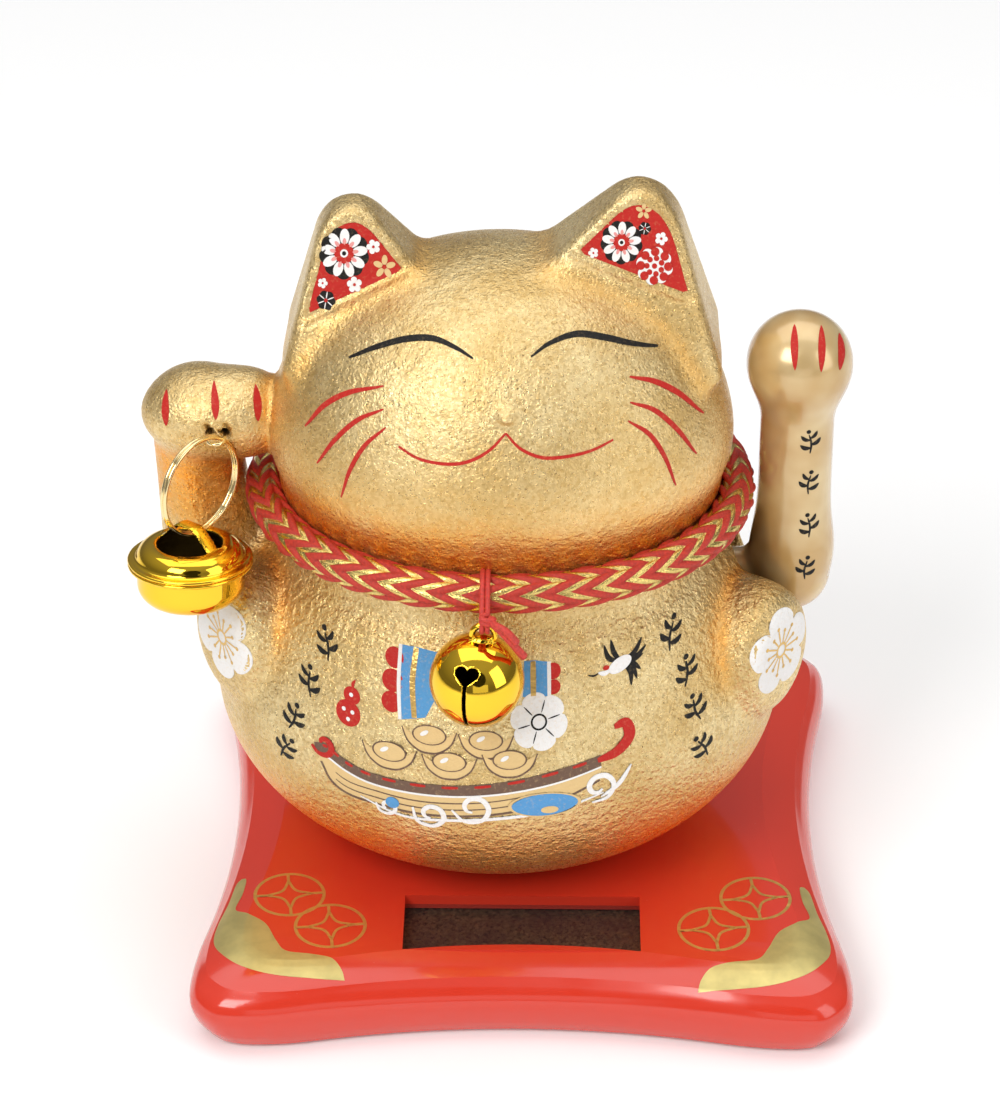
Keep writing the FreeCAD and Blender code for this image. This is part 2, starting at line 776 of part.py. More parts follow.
def swing_arm():
    """Two moulded halves, front and back, that meet on the axle's plane."""
    stub = cylinder("3.6", "arm_x - 30", "30", "axle_y", "axle_z", ALONG_X)
    bore = cylinder("axle_radius", "8", "axle_end - 8", "axle_y", "axle_z", ALONG_X)
    for label, low_y in (("swing_arm_front", "axle_y - 30"), ("swing_arm_back", "axle_y")):
        skin = cut(arm_form("0"), arm_form("arm_skin"))
        whole = cut(fuse(skin, stub), bore)
        half = put(bind(doc.addObject("Part::Box", "Half"), Length="40", Width="30", Height="80"),
                   "arm_x - 20", low_y, "40")
        finish(common(whole, half), label)


# ---------------------------------------------------------------- bells

def lean_about(point, axis, angle):
    """The placement that turns a piece about a point."""
    turn = Rotation(axis, angle)
    return Placement(point - turn.multVec(point), turn)


def neck_bell():
    """A round bell in two halves: the upper carries the loop, the lower has the sound slot."""
    loop_x, loop_y = "bell_x", "bell_y"
    middle = "bell_z - bell_loop - 0.9 - bell_radius"
    upright = Rotation(Vector(1, 0, 0), 90)
    whole_up = fuse(ball("bell_radius", loop_x, loop_y, middle),
                    ring("bell_loop", "bell_wire", loop_x, loop_y, "bell_z - bell_loop", upright))
    hollow = ball("bell_radius - bell_sheet", loop_x, loop_y, middle)
    upper_half = box("30", "30", "30", loop_x, loop_y, middle)
    upper = common(cut(whole_up, hollow), upper_half)
    hollow_low = ball("bell_radius - bell_sheet", loop_x, loop_y, middle)
    lower_half = box("30", "30", "30", loop_x, loop_y, f"{middle} - 30")
    low_skin = common(cut(ball("bell_radius", loop_x, loop_y, middle), hollow_low), lower_half)
    slot = box("0.9", "20", "14", loop_x, loop_y, f"{middle} - 15")
    eye = cylinder("1.3", "20", loop_x, f"{loop_y} + 10", f"{middle} - 1.6", upright)
    lower = cut(low_skin, slot, eye)
    clapper = ball("2.0", loop_x, loop_y, f"{middle} - bell_radius + bell_sheet + 2.1")
    point = Vector(size("bell_x"), size("bell_y"), size("bell_z"))
    lean = lean_about(point, Vector(0, 1, 0), BELL_LEAN)
    for thing, label in ((upper, "neck_bell_upper"), (lower, "neck_bell_lower"), (clapper, "neck_bell_clapper")):
        leaning(thing, lean, label)


def leaning(thing, lean, label):
    """Hang a finished piece at an angle."""
    holder = doc.addObject("Part::Compound", "Hung")
    holder.Links = [thing]
    holder.Placement = lean
    finish(holder, label)


def hang_point():
    """Where the basin bell's strap lies on the split ring."""
    angle = math.radians(HANG_ANGLE)
    radius = size("ring_radius")
    return RING_CENTRE - ring_side() * math.sin(angle) * radius - Vector(0, 0, math.cos(angle) * radius)


def ring_side():
    """The level direction in the split ring's plane."""
    angle = math.radians(RING_TURN)
    return Vector(math.cos(angle), math.sin(angle), 0)


def paw_bell():
    """A flanged bell: a domed top with an open mouth and strap, and a deep basin below."""
    point = hang_point()
    lean = Placement(point, Rotation(Vector(1, 0, 0), BASIN_LEAN) * Rotation(Vector(0, 0, 1), RING_TURN))
    top = doc.addObject("PartDesign::Body", "BasinTop")
    profile = new_sketch(top, "XZ_Plane")
    skin = "bell_sheet"
    draw_outline(profile, [
        ("basin_mouth", "basin_rim - 0.3"), ("basin_mouth + 1.6", "basin_rim"),
        ("basin_radius - 0.7", "basin_rim - 1.1"), ("basin_radius", f"basin_seam + {skin}"),
        ("basin_flange", f"basin_seam + {skin}"), ("basin_flange", "basin_seam"),
        (f"basin_radius - {skin}", "basin_seam"), (f"basin_radius - 0.8 - {skin}", "basin_rim - 1.3"),
        ("basin_mouth + 1.5", f"basin_rim - {skin}"), ("basin_mouth", f"basin_rim - 0.3 - {skin}")])
    revolve(top, profile)
    strap = doc.addObject("PartDesign::Body", "Strap")
    arch = new_sketch(strap, "YZ_Plane", "-1.4")
    low = "basin_rim - 0.5"
    draw_outline(arch, [
        ("0 - basin_mouth - 0.5", low), ("0 - 3.4", "strap_height"), ("3.4", "strap_height"),
        ("basin_mouth + 0.5", low), ("basin_mouth + 1", f"{low} + 0.2"),
        ("3.6", f"strap_height + {skin}"), ("0 - 3.6", f"strap_height + {skin}"),
        ("0 - basin_mouth - 1", f"{low} + 0.2")])
    extrude(strap, "Pad", arch, "2.8")
    leaning(fuse(top, strap), lean, "paw_bell_upper")
    basin = doc.addObject("PartDesign::Body", "Basin")
    profile = new_sketch(basin, "XZ_Plane")
    draw_outline(profile, [
        ("0", "basin_floor"), ("basin_radius - 3.2", "basin_floor"),
        ("basin_radius - 0.9", "basin_floor + 1"), ("basin_radius", "basin_floor + 3.2"),
        ("basin_radius", f"basin_seam - {skin}"), ("basin_flange", f"basin_seam - {skin}"),
        ("basin_flange", "basin_seam"), (f"basin_radius - {skin}", "basin_seam"),
        (f"basin_radius - {skin}", "basin_floor + 3.4"),
        (f"basin_radius - 1.2", "basin_floor + 1.4"),
        ("basin_radius - 3.4", f"basin_floor + {skin}"), ("0", f"basin_floor + {skin}")])
    revolve(basin, profile)
    slot = box("12", "1.6", "4", 0, 0, "basin_floor - 1.5")
    leaning(cut(basin, slot), lean, "paw_bell_lower")
    leaning(ball("2.2", 0, 0, f"basin_floor + {skin} + 2.35"), lean, "paw_bell_clapper")


def split_ring():
    """Two coils of wire pressed side by side."""
    facing = towards(Vector(math.sin(math.radians(RING_TURN)), -math.cos(math.radians(RING_TURN)), 0))
    normal = facing.multVec(Vector(0, 0, 1))
    coils = []
    for side in SIDES:
        place = RING_CENTRE + normal * side * (size("ring_wire") - 0.02)
        coils.append(ring("ring_radius", "ring_wire", place.x, place.y, place.z, facing))
    finish(fuse(*coils), "split_ring")


def link_facing():
    angle = math.radians(LINK_DIP)
    return Vector(0, -math.cos(angle), -math.sin(angle))


def paw_wire_link():
    """A bent wire whose legs sit in two holes in the raised paw."""
    body = new_body("paw_wire_link")
    half = size("link_spread") / 2
    reach = 2.3
    path = new_sketch(body, "XY_Plane")
    left, right = Vector(-half, reach, 0), Vector(half, reach, 0)
    root = 0.5 - LINK_ROOT
    path.addGeometry(Part.LineSegment(Vector(-half, root, 0), left), False)
    path.addGeometry(Part.Arc(left, Vector(0, reach + half, 0), right), False)
    path.addGeometry(Part.LineSegment(right, Vector(half, root, 0)), False)
    section = new_sketch(body, "XZ_Plane", str(-root))
    draw_circle(section, "link_wire", "0 - link_spread / 2", "0")
    pipe(body, path, section)
    across = Vector(1, 0, 0)
    turn = Rotation(across, link_facing(), across.cross(link_facing()), "XYZ")
    body.Placement = Placement(LINK_POINT, turn)


# ---------------------------------------------------------------- build, check and write

def check(thing):
    """Stop on a failed object, and on a sub-part without a valid shape."""
    broken = {"Invalid", "Error"} & set(thing.State)
    if broken:
        raise RuntimeError(f"{thing.Name} is {broken}")


def write_pieces():
    os.makedirs("parts", exist_ok=True)
    for thing in pieces:
        shape = thing.Shape
        if shape.isNull() or not shape.isValid() or not shape.Solids:
            raise RuntimeError(f"{thing.Label} has no valid solid")
        shape.exportStep(os.path.join("parts", thing.Label + ".step"))
        print(thing.Label, len(shape.Solids), round(shape.Volume, 2))


fill_sheet()
base_cover()
base_bottom()
base_screws()
rest_pad()
solar_window()
solar_cell()
circuit_board()
board_screws()
coil()
board_parts()
cell_wires()
seat_ring()
pivot_bracket()
bracket_screws()
arm_axle()
axle_clips()
pendulum_lever()
pendulum_load()
cat_body()
collar_cord()
bell_thread()
swing_arm()
neck_bell()
paw_bell()
split_ring()
paw_wire_link()
doc.recompute()
for item in doc.Objects:
    check(item)
write_pieces()
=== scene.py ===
"""Looks of the beckoning cat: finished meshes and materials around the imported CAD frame.

Shapes are worked out in millimetres in the frame's own axes (+Z up, the cat looks along -Y)
and become Blender meshes in metres. Curved solids are signed fields: a function that gives
each point's distance to the surface, negative inside.
"""

import json
import math

import bpy
import numpy as np
from mathutils import Matrix, Vector
from mathutils.bvhtree import BVHTree


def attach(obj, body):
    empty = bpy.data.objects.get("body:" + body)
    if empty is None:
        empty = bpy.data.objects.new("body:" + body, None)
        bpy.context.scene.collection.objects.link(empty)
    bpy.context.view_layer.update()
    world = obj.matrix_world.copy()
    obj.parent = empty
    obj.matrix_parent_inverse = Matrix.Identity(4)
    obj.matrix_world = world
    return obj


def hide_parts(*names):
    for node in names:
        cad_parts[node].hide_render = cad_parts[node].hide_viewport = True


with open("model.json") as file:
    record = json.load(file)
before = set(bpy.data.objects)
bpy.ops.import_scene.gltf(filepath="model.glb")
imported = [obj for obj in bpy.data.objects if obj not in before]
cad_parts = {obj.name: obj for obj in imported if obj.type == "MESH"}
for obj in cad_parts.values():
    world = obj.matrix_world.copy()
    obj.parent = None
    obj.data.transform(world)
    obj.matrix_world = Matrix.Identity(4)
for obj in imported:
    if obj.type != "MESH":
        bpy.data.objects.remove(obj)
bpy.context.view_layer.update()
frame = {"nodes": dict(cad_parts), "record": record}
MM = 0.001

# ---- fields

CAT_X = -4.0
CORD_CENTRE = np.array([CAT_X, -1.0, 77.2])
CORD_HALF = np.array([38.5, 34.5])
CORD_RADIUS = 3.0
WALL = 3.5
FLOOR = 13.8
PIVOT = np.array([1.0, 3.0, 58.5])
ARM_HOLE = 9.5
FLOOR_HOLE = 19.5
STUB_RADIUS = 3.6
AXLE_BORE = 1.02
LINK_ROOT = np.array([-49.1, -8.0, 91.6])
LINK_HALF = 1.3
ARM_X = 44.6
FEET = {-1: np.array([-49.8, -15.5, 55.0]), 1: np.array([42.3, -16.0, 53.0])}


def length(v):
    return np.sqrt((v * v).sum(-1))


def unit(v):
    v = np.asarray(v, float)
    return v / np.linalg.norm(v)


def turn(axis, degrees):
    """Rotation matrix about one of the frame's axes, named x, y or z."""
    c, s = math.cos(math.radians(degrees)), math.sin(math.radians(degrees))
    rows = {"x": [[1, 0, 0], [0, c, -s], [0, s, c]], "y": [[c, 0, s], [0, 1, 0], [-s, 0, c]],
            "z": [[c, -s, 0], [s, c, 0], [0, 0, 1]]}
    return np.array(rows[axis])


def ellipsoid(points, centre, radii, rotation=None):
    q = points - np.asarray(centre, float)
    if rotation is not None:
        q = q @ rotation
    r = np.asarray(radii, float)
    near = length(q / r)
    steep = length(q / (r * r)) + 1e-9
    return near * (near - 1) / steep


def round_cone(points, start, end, start_radius, end_radius):
    """A straight limb with round ends, whose radius changes evenly."""
    a, b = np.asarray(start, float), np.asarray(end, float)
    along = np.clip(((points - a) @ (b - a)) / ((b - a) @ (b - a)), 0, 1)
    middle = a + along[..., None] * (b - a)
    return length(points - middle) - (start_radius + along * (end_radius - start_radius))


def half_space(points, place, outward):
    return (points - np.asarray(place, float)) @ unit(outward)


def join(a, b, soft):
    """Smooth union."""
    mix = np.clip(0.5 + 0.5 * (b - a) / soft, 0, 1)
    return b + (a - b) * mix - soft * mix * (1 - mix)


def meet(a, b, soft):
    """Smooth intersection."""
    return -join(-a, -b, soft)


def carve(a, b, soft):
    """Smooth subtraction of b from a."""
    return -join(-a, b, soft)


def step_up(value, low, high):
    t = np.clip((value - low) / (high - low), 0, 1)
    return t * t * (3 - 2 * t)


def full_turn(count):
    """Angles at even spacing round a circle."""
    return np.linspace(0, 2 * math.pi, count, endpoint=False)


def rays(angle):
    """Unit steps in a plane, one for each angle."""
    return np.stack([np.cos(angle), np.sin(angle)], -1)


def column(points, axis=2):
    """Each point's distance from the line along one axis through zero."""
    return np.hypot(points[..., axis - 2], points[..., axis - 1])


def cord_line(points):
    """Distance to the collar's oval centre line."""
    q = points - CORD_CENTRE
    angle = np.arctan2(q[..., 1] / CORD_HALF[1], q[..., 0] / CORD_HALF[0])
    ring = np.stack([CORD_HALF[0] * np.cos(angle), CORD_HALF[1] * np.sin(angle), 0 * angle], -1)
    return length(q - ring)


def trunk_field(points):
    """Torso and shoulders."""
    torso = ellipsoid(points, (CAT_X - 0.3, 1, 41.5), (47.2, 42.5, 32.6))
    shoulder = ellipsoid(points, (CAT_X, 1, 58.0), (40.6, 35.3, 23.5))
    neck = ellipsoid(points, (CAT_X, -0.5, 77.0), (36.4, 32.0, 21.0))
    return join(join(torso, shoulder, 8.0), neck, 4.0)


def head_field(points):
    """Crown and cheeks."""
    crown = ellipsoid(points, (CAT_X + 0.1, -2, 93.2), (35.8, 30, 26.6))
    cheeks = ellipsoid(points, (CAT_X + 0.1, -4, 87.8), (36.2, 29.5, 18.0))
    return join(crown, cheeks, 7.0)


# Each ear: outer foot, outer tip, inner tip and inner foot of its outline, in X and Z.
EARS = {
    "left": [(-38.5, 103.0), (-32.0, 127.0), (-26.0, 129.0), (-11.5, 112.0)],
    "right": [(30.8, 104.5), (23.2, 129.6), (17.0, 132.4), (0.5, 117.0)],
}
EAR_SOFT = 4.5
EAR_RIM = 1.3
# The line along the foot of each ear's dish, in X and Z.
EAR_FEET = {"left": [(-34.2, 110.6), (-17.0, 118.4)], "right": [(24.6, 114.8), (8.4, 120.6)]}
EAR_DEPTH = 1.2


def edge_side(points, start, end, middle):
    """Half-space beyond the line through two X, Z points, on the side away from a middle."""
    a, b, m = (np.array([p[0], 0.0, p[1]]) for p in (start, end, middle))
    outward = unit(np.cross(b - a, [0, 1, 0]))
    if (m - a) @ outward > 0:
        outward = -outward
    return half_space(points, a, outward)


def ear_sides(points, corners):
    """The three sides of an ear seen from the front, with rounded corners."""
    middle = np.mean(corners, axis=0)
    outer = edge_side(points, corners[0], corners[1], middle)
    top = edge_side(points, corners[1], corners[2], middle)
    inner = edge_side(points, corners[2], corners[3], middle)
    return meet(meet(outer, inner, EAR_SOFT), top, EAR_SOFT)


def ear_field(points, name):
    """One ear: a leaning wedge with a shallow dish in its front face."""
    corners = EARS[name]
    sides = ear_sides(points, corners)
    tip_z = max(corners[1][1], corners[2][1])
    front = half_space(points, (0, -3.4, tip_z), (0, -0.95, 0.32))
    back = half_space(points, (0, 4.2, tip_z), (0, 0.96, 0.28))
    base = half_space(points, (0, 0, 101.0), (0, 0, -1))
    wedge = meet(meet(sides, meet(front, back, 3.0), 3.0), base, 3.0)
    dish = meet(sides + EAR_RIM, -(front + EAR_DEPTH), 0.8)
    dish = meet(dish, edge_side(points, *EAR_FEET[name], np.mean(corners, axis=0)), 0.8)
    return carve(wedge, dish, 1.0)


def sole_axes(side):
    """The way that a sole faces, and the level line across it."""
    return unit((side * 0.8, -0.6, 0)), np.array([0.6, side * 0.8, 0])


def foot_field(points, side):
    """A plump foot cut flat at its sole."""
    sole = FEET[side]
    facing, across = sole_axes(side)
    rotation = np.stack([facing, across, np.array([0, 0, 1.0])], 1)
    plump = ellipsoid(points, sole - facing * 6.8, (13.0, 9.9, 11.7), rotation)
    return meet(plump, half_space(points, sole, facing), 3.0)


def paw_field(points):
    """The fixed raised arm and its folded hand."""
    upper = round_cone(points, (-51.6, 3.2, 60), (-53.2, 2.6, 78), 8.4, 7.3)
    fore = round_cone(points, (-53.2, 2.6, 78), (-53.4, 0.6, 89.5), 7.3, 7.4)
    hand = ellipsoid(points, (-50.6, -2.8, 91.1), (11.3, 8.0, 7.2))
    thumb = ellipsoid(points, (-44.2, -2.4, 90.7), (6.5, 6.6, 6.4))
    return join(join(np.minimum(upper, fore), hand, 3.0), thumb, 4.0)


def tail_field(points):
    """A round bobtail."""
    return ellipsoid(points, (CAT_X, 41.5, 30.0), (7.0, 7.5, 7.5))


def cat_outside(points):
    """The whole casting from outside, with the collar's groove in its neck."""
    body = join(trunk_field(points), head_field(points), 2.5)
    for name in EARS:
        body = join(body, ear_field(points, name), 2.4)
    paw_soft = 1.4 + 5.0 * step_up(-points[..., 2], -78.0, -66.0)
    body = join(body, paw_field(points), paw_soft)
    for side in FEET:
        body = join(body, foot_field(points, side), 2.2)
    body = join(body, tail_field(points), 3.0)
    body = meet(body, FLOOR - points[..., 2], 3.0)
    return carve(body, cord_line(points) - CORD_RADIUS - 0.12, 0.6)


def cat_field(points):
    """The hollow cat with the arm's hole in its side and the opening in its floor."""
    outside = cat_outside(points)
    inside = join(trunk_field(points), head_field(points), 4.0) + WALL
    inside = meet(inside, FLOOR + WALL - points[..., 2], 1.0)
    shell = np.maximum(outside, -inside)
    q = points - PIVOT
    hole = np.maximum(column(q, 0) - ARM_HOLE, 28.0 - points[..., 0])
    shell = carve(shell, hole, 0.8)
    q = points - np.array([CAT_X + 2, 2.0, FLOOR])
    floor_hole = np.maximum(column(q) - FLOOR_HOLE, q[..., 2] - 5)
    shell = carve(shell, floor_hole, 0.5)
    for side in (-1, 1):
        drill = round_cone(points, LINK_ROOT + [side * LINK_HALF, -4.0, 0],
                           LINK_ROOT + [side * LINK_HALF, 2.0, 0], 0.75, 0.6)
        shell = carve(shell, drill, 0.3)
    return shell


def arm_radius(z):
    """Radius of the swinging arm along its height: plump elbow, slim wrist."""
    return 6.02 + 1.05 * np.exp(-((z - 62.5) / 6.5) ** 2)


def arm_field(points):
    """The swinging arm: round paw, slim wrist, plump elbow and the stub on the axle."""
    y = PIVOT[1]
    z = np.clip(points[..., 2], 58.4, 95.0)
    axis_x = ARM_X - 0.3 - 0.06 * np.maximum(66.0 - z, 0) ** 1.35 / 4
    nearest = np.stack([axis_x, y + 0 * z, z], -1)
    limb = length(points - nearest) - arm_radius(z)
    paw = ellipsoid(points, (ARM_X - 0.3, y, 97.7), (8.6, 8.6, 8.5))
    arm = join(paw, limb, 3.5)
    q = points - PIVOT
    stub = np.maximum(column(q, 0) - STUB_RADIUS, np.abs(points[..., 0] - 36.0) - 6.0)
    arm = join(arm, stub, 1.5)
    bore = np.maximum(column(q, 0) - AXLE_BORE, points[..., 0] - 36.02)
    return np.maximum(arm, -bore)


# ---- meshes from fields

COARSE = 4      # grid steps between the field's first, coarse samples
REACH = 0.04    # half the distance that a slope is measured over
BLOCK = 60000   # points worked out at one time


def sample(field, low, step, counts):
    """A field's values on a grid. Far from the surface the nearest coarse value stands in."""
    rough_counts = [math.ceil(n / COARSE) + 1 for n in counts]
    rough_axes = [low[i] + step * COARSE * np.arange(rough_counts[i]) for i in range(3)]
    rough = field(np.stack(np.meshgrid(*rough_axes, indexing="ij"), -1))
    near = smallest_corner(np.abs(rough)) < 1.5 * step * COARSE
    index = [np.arange(n) // COARSE for n in counts]
    grid = np.ix_(*index)
    values = rough[grid].copy()
    wanted = near[grid]
    axes = [low[i] + step * np.arange(counts[i]) for i in range(3)]
    where = np.argwhere(wanted)
    points = np.stack([axes[i][where[:, i]] for i in range(3)], -1)
    blocks = np.array_split(points, 1 + len(points) // BLOCK)
    values[wanted] = np.concatenate([field(block) for block in blocks])
    return values


def smallest_corner(values):
    """Smallest of each cell's eight corners."""
    for axis in range(3):
        a, b = np.split(values, [1], axis)[1], np.split(values, [-1], axis)[0]
        values = np.minimum(a, b)
    return values


def net(field, low, high, step):
    """Points, four-sided faces and normals of a field's surface."""
    low = np.asarray(low, float)
    counts = np.ceil((np.asarray(high, float) - low) / step).astype(int) + 1
    values = sample(field, low, step, counts)
    inside = values < 0
    shape = tuple(counts - 1)
    total = np.zeros(shape, int)
    for corner in np.ndindex(2, 2, 2):
        total += inside[tuple(slice(c, c + n) for c, n in zip(corner, shape))]
    active = (total > 0) & (total < 8)
    cells = np.argwhere(active)
    index = np.full(shape, -1)
    index[active] = np.arange(len(cells))
    sums, hits = np.zeros((len(cells), 3)), np.zeros(len(cells))
    for axis in range(3):
        along = np.eye(3, dtype=int)[axis]
        for corner in np.ndindex(2, 2, 2):
            if corner[axis]:
                continue
            start = cells + np.array(corner)
            a, b = values[tuple(start.T)], values[tuple((start + along).T)]
            crossed = (a < 0) != (b < 0)
            part = a[crossed] / (a[crossed] - b[crossed])
            sums[crossed] += start[crossed] + part[:, None] * along
            hits[crossed] += 1
    faces = np.concatenate([net_faces(inside, index, axis) for axis in range(3)])
    points, normals = settle(field, low + step * sums / hits[:, None], step)
    return points, faces, normals


def net_faces(inside, index, axis):
    """One face for each grid edge along an axis that crosses the surface."""
    u, v = np.eye(3, dtype=int)[(axis + 1) % 3], np.eye(3, dtype=int)[(axis + 2) % 3]
    a, b = np.split(inside, [-1], axis)[0], np.split(inside, [1], axis)[1]
    edges = np.argwhere(a != b)
    limit = np.array(index.shape)
    edges = edges[((edges - u - v) >= 0).all(1) & (edges < limit).all(1)]
    ring = [index[tuple((edges - du * u - dv * v).T)] for du, dv in ((1, 1), (0, 1), (0, 0), (1, 0))]
    quads = np.stack(ring, -1)
    outward = a[tuple(edges.T)]
    quads[~outward] = quads[~outward][:, ::-1]
    return quads[(quads >= 0).all(1)]


def slope(field, points):
    """A field's gradient at each point."""
    steps = np.eye(3) * REACH
    return np.stack([field(points + s) - field(points - s) for s in steps], -1) / (2 * REACH)


def settle(field, points, step):
    """Moves points onto a field's surface, and returns them with their unit normals."""
    for _ in range(3):
        g = slope(field, points)
        move = (field(points) / np.maximum((g * g).sum(-1), 0.1))[:, None] * g
        points = points - np.clip(move, -step, step)
    g = slope(field, points)
    return points, g / np.maximum(length(g), 1e-9)[:, None]


# ---- meshes from outlines

def add_mesh(name, points, faces, paints, body, normals=None, choice=None, crease=None):
    """A mesh piece, given in millimetres, that rides on a body. Choice picks each face's paint."""
    mesh = bpy.data.meshes.new(name)
    mesh.from_pydata((np.asarray(points) * MM).tolist(), [], [list(map(int, f)) for f in faces])
    for paint in paints:
        mesh.materials.append(PAINTS[paint])
    if choice is not None:
        mesh.polygons.foreach_set("material_index", np.asarray(choice, np.int32))
    mesh.shade_smooth()
    if crease is not None:
        mesh.set_sharp_from_angle(angle=math.radians(crease))
    if normals is not None:
        mesh.normals_split_custom_set_from_vertices(normals.tolist())
    piece = bpy.data.objects.new(name, mesh)
    bpy.context.scene.collection.objects.link(piece)
    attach(piece, body)
    return piece


def grid_faces(rows, columns, wrap_rows=False, wrap_columns=False):
    """Faces of a grid of points numbered row by row."""
    last_row = rows if wrap_rows else rows - 1
    last_column = columns if wrap_columns else columns - 1
    i, j = np.meshgrid(np.arange(last_row), np.arange(last_column), indexing="ij")
    a, b = i % rows, (i + 1) % rows
    c, d = j % columns, (j + 1) % columns
    return np.stack([a * columns + c, a * columns + d, b * columns + d, b * columns + c], -1).reshape(-1, 4)


def smooth_line(points, per=6):
    """A curve through its points (Catmull-Rom)."""
    p = np.asarray(points, float)
    p = np.concatenate([2 * p[:1] - p[1:2], p, 2 * p[-1:] - p[-2:-1]])
    t = np.linspace(0, 1, per, endpoint=False)[:, None]
    parts = []
    for a, b, c, d in zip(p[:-3], p[1:-2], p[2:-1], p[3:]):
        parts.append(0.5 * (2 * b + (c - a) * t + (2 * a - 5 * b + 4 * c - d) * t ** 2
                            + (3 * b - a - 3 * c + d) * t ** 3))
    return np.concatenate(parts + [p[-2:-1]])


def stroke(points, wide, ends=0.25, per=6):
    """A brush stroke along flat points, fullest in the middle."""
    line = smooth_line(points, per)
    t = np.linspace(0, 1, len(line))
    half = 0.5 * wide * (ends + (1 - ends) * np.sin(math.pi * t) ** 0.7)
    along = np.gradient(line, axis=0)
    along /= np.linalg.norm(along, axis=1)[:, None]
    side = np.stack([-along[:, 1], along[:, 0]], -1) * half[:, None]
    grid = np.stack([line - side, line, line + side], 1).reshape(-1, 2)
    return grid, grid_faces(len(line), 3)[:, ::-1]


def fan(outline, rings=5, centre=None):
    """A filled outline that its centre can see all of. The outline runs anticlockwise."""
    outline = np.asarray(outline, float)
    middle = outline.mean(0) if centre is None else np.asarray(centre, float)
    n = len(outline)
    levels = [middle + (outline - middle) * (k / rings) for k in range(1, rings + 1)]
    points = np.concatenate([middle[None]] + levels)
    faces = [[0, 1 + j, 1 + (j + 1) % n] for j in range(n)]
    for k in range(rings - 1):
        a, b = 1 + k * n, 1 + (k + 1) * n
        faces += [[a + j, b + j, b + (j + 1) % n, a + (j + 1) % n] for j in range(n)]
    return points, faces


def straight(corners, per):
    """An outline with straight sides, cut into short pieces."""
    p = np.asarray(corners, float)
    t = np.linspace(0, 1, per, endpoint=False)[:, None]
    return np.concatenate([a + (b - a) * t for a, b in zip(p, np.roll(p, -1, 0))])


def disc(centre, radius, spokes=28, rings=3, flat=1.0, tilt=0.0):
    """A filled circle, or an oval when flat is below 1."""
    ring = rays(full_turn(spokes)) * [1, flat] * radius
    return fan(turned(ring, tilt) + np.asarray(centre, float), rings, centre)


def flower(centre, radius, count=5, tilt=0.0, dent=0.34, rings=4):
    """A blossom with round petals."""
    angle = full_turn(count * 14)
    reach = radius * (1 - dent + dent * np.abs(np.sin(count * angle / 2)) ** 0.55)
    return fan(turned(rays(angle) * reach[:, None], tilt) + np.asarray(centre, float), rings, centre)


def annulus(centre, inner, outer, spokes=64, flat=1.0):
    """A flat ring."""
    ring = rays(full_turn(spokes)) * [1, flat]
    points = np.concatenate([ring * inner, ring * outer]) + np.asarray(centre, float)
    return points, grid_faces(2, spokes, wrap_columns=True)[:, ::-1]


def band(low, high, rows=4, per=6):
    """The strip between two curves that run the same way."""
    low, high = smooth_line(low, per), smooth_line(high, per)
    levels = [low + (high - low) * (k / rows) for k in range(rows + 1)]
    return np.concatenate(levels), grid_faces(rows + 1, len(low))


def turned(points, degrees):
    """Flat points turned anticlockwise about zero."""
    c, s = math.cos(math.radians(degrees)), math.sin(math.radians(degrees))
    return np.asarray(points, float) @ np.array([[c, s], [-s, c]])


def merged(shapes):
    """Several shapes' points and faces as one shape."""
    points, faces, count = [], [], 0
    for more_points, more_faces in shapes:
        points.append(more_points)
        faces += [[int(i) + count for i in face] for face in more_faces]
        count += len(more_points)
    return np.concatenate(points), faces


def rim_edges(faces):
    """Directed edges that belong to one face only."""
    edges = dict.fromkeys(edge for face in faces for edge in zip(face, face[1:] + face[:1]))
    return [(a, b) for a, b in edges if (b, a) not in edges]


def onto(field, direction, origin=(0, 0, 0), across=(1, 0, 0), up=(0, 0, 1), start=70.0):
    """A way to lay flat points on a field's surface by moving them along a direction."""
    direction, across, up = (np.asarray(v, float) for v in (direction, across, up))

    def place(flat):
        points = np.asarray(origin, float) + flat[:, :1] * across + flat[:, 1:] * up - direction * start
        for _ in range(90):
            points = points + np.clip(field(points), -1.0, 5.0)[:, None] * 0.85 * direction
        missed = np.abs(field(points)) > 0.3
        if missed.any():
            raise RuntimeError(f"a painted detail misses its surface at {flat[missed][:3]}")
        g = slope(field, points)
        return points, g / length(g)[:, None]

    return place


def level(height):
    """A way to lay flat points on a level face."""
    def place(flat):
        points = np.column_stack([flat, np.full(len(flat), height)])
        return points, np.tile([0.0, 0.0, 1.0], (len(flat), 1))

    return place


def tube(path, radius, sides=10, closed=False):
    """Points and faces of a round tube. The radius may change along the path."""
    path = np.asarray(path, float)
    n = len(path)
    radius = np.broadcast_to(radius, n)
    along = np.roll(path, -1, 0) - np.roll(path, 1, 0)
    if not closed:
        along[0], along[-1] = path[1] - path[0], path[-1] - path[-2]
    along /= length(along)[:, None]
    side = np.cross(along[0], [0.3, 0.2, 1.0])
    angle = full_turn(sides)
    rings = []
    for i in range(n):
        side = side - (side @ along[i]) * along[i]
        side /= np.linalg.norm(side)
        other = np.cross(along[i], side)
        rings.append(path[i] + radius[i] * (np.cos(angle)[:, None] * side + np.sin(angle)[:, None] * other))
    points = np.concatenate(rings)
    faces = grid_faces(n, sides, wrap_rows=closed, wrap_columns=True)[:, ::-1].tolist()
    if not closed:
        faces.append(list(range(sides)))
        faces.append([(n - 1) * sides + k for k in reversed(range(sides))])
    return points, faces


# ---- paints

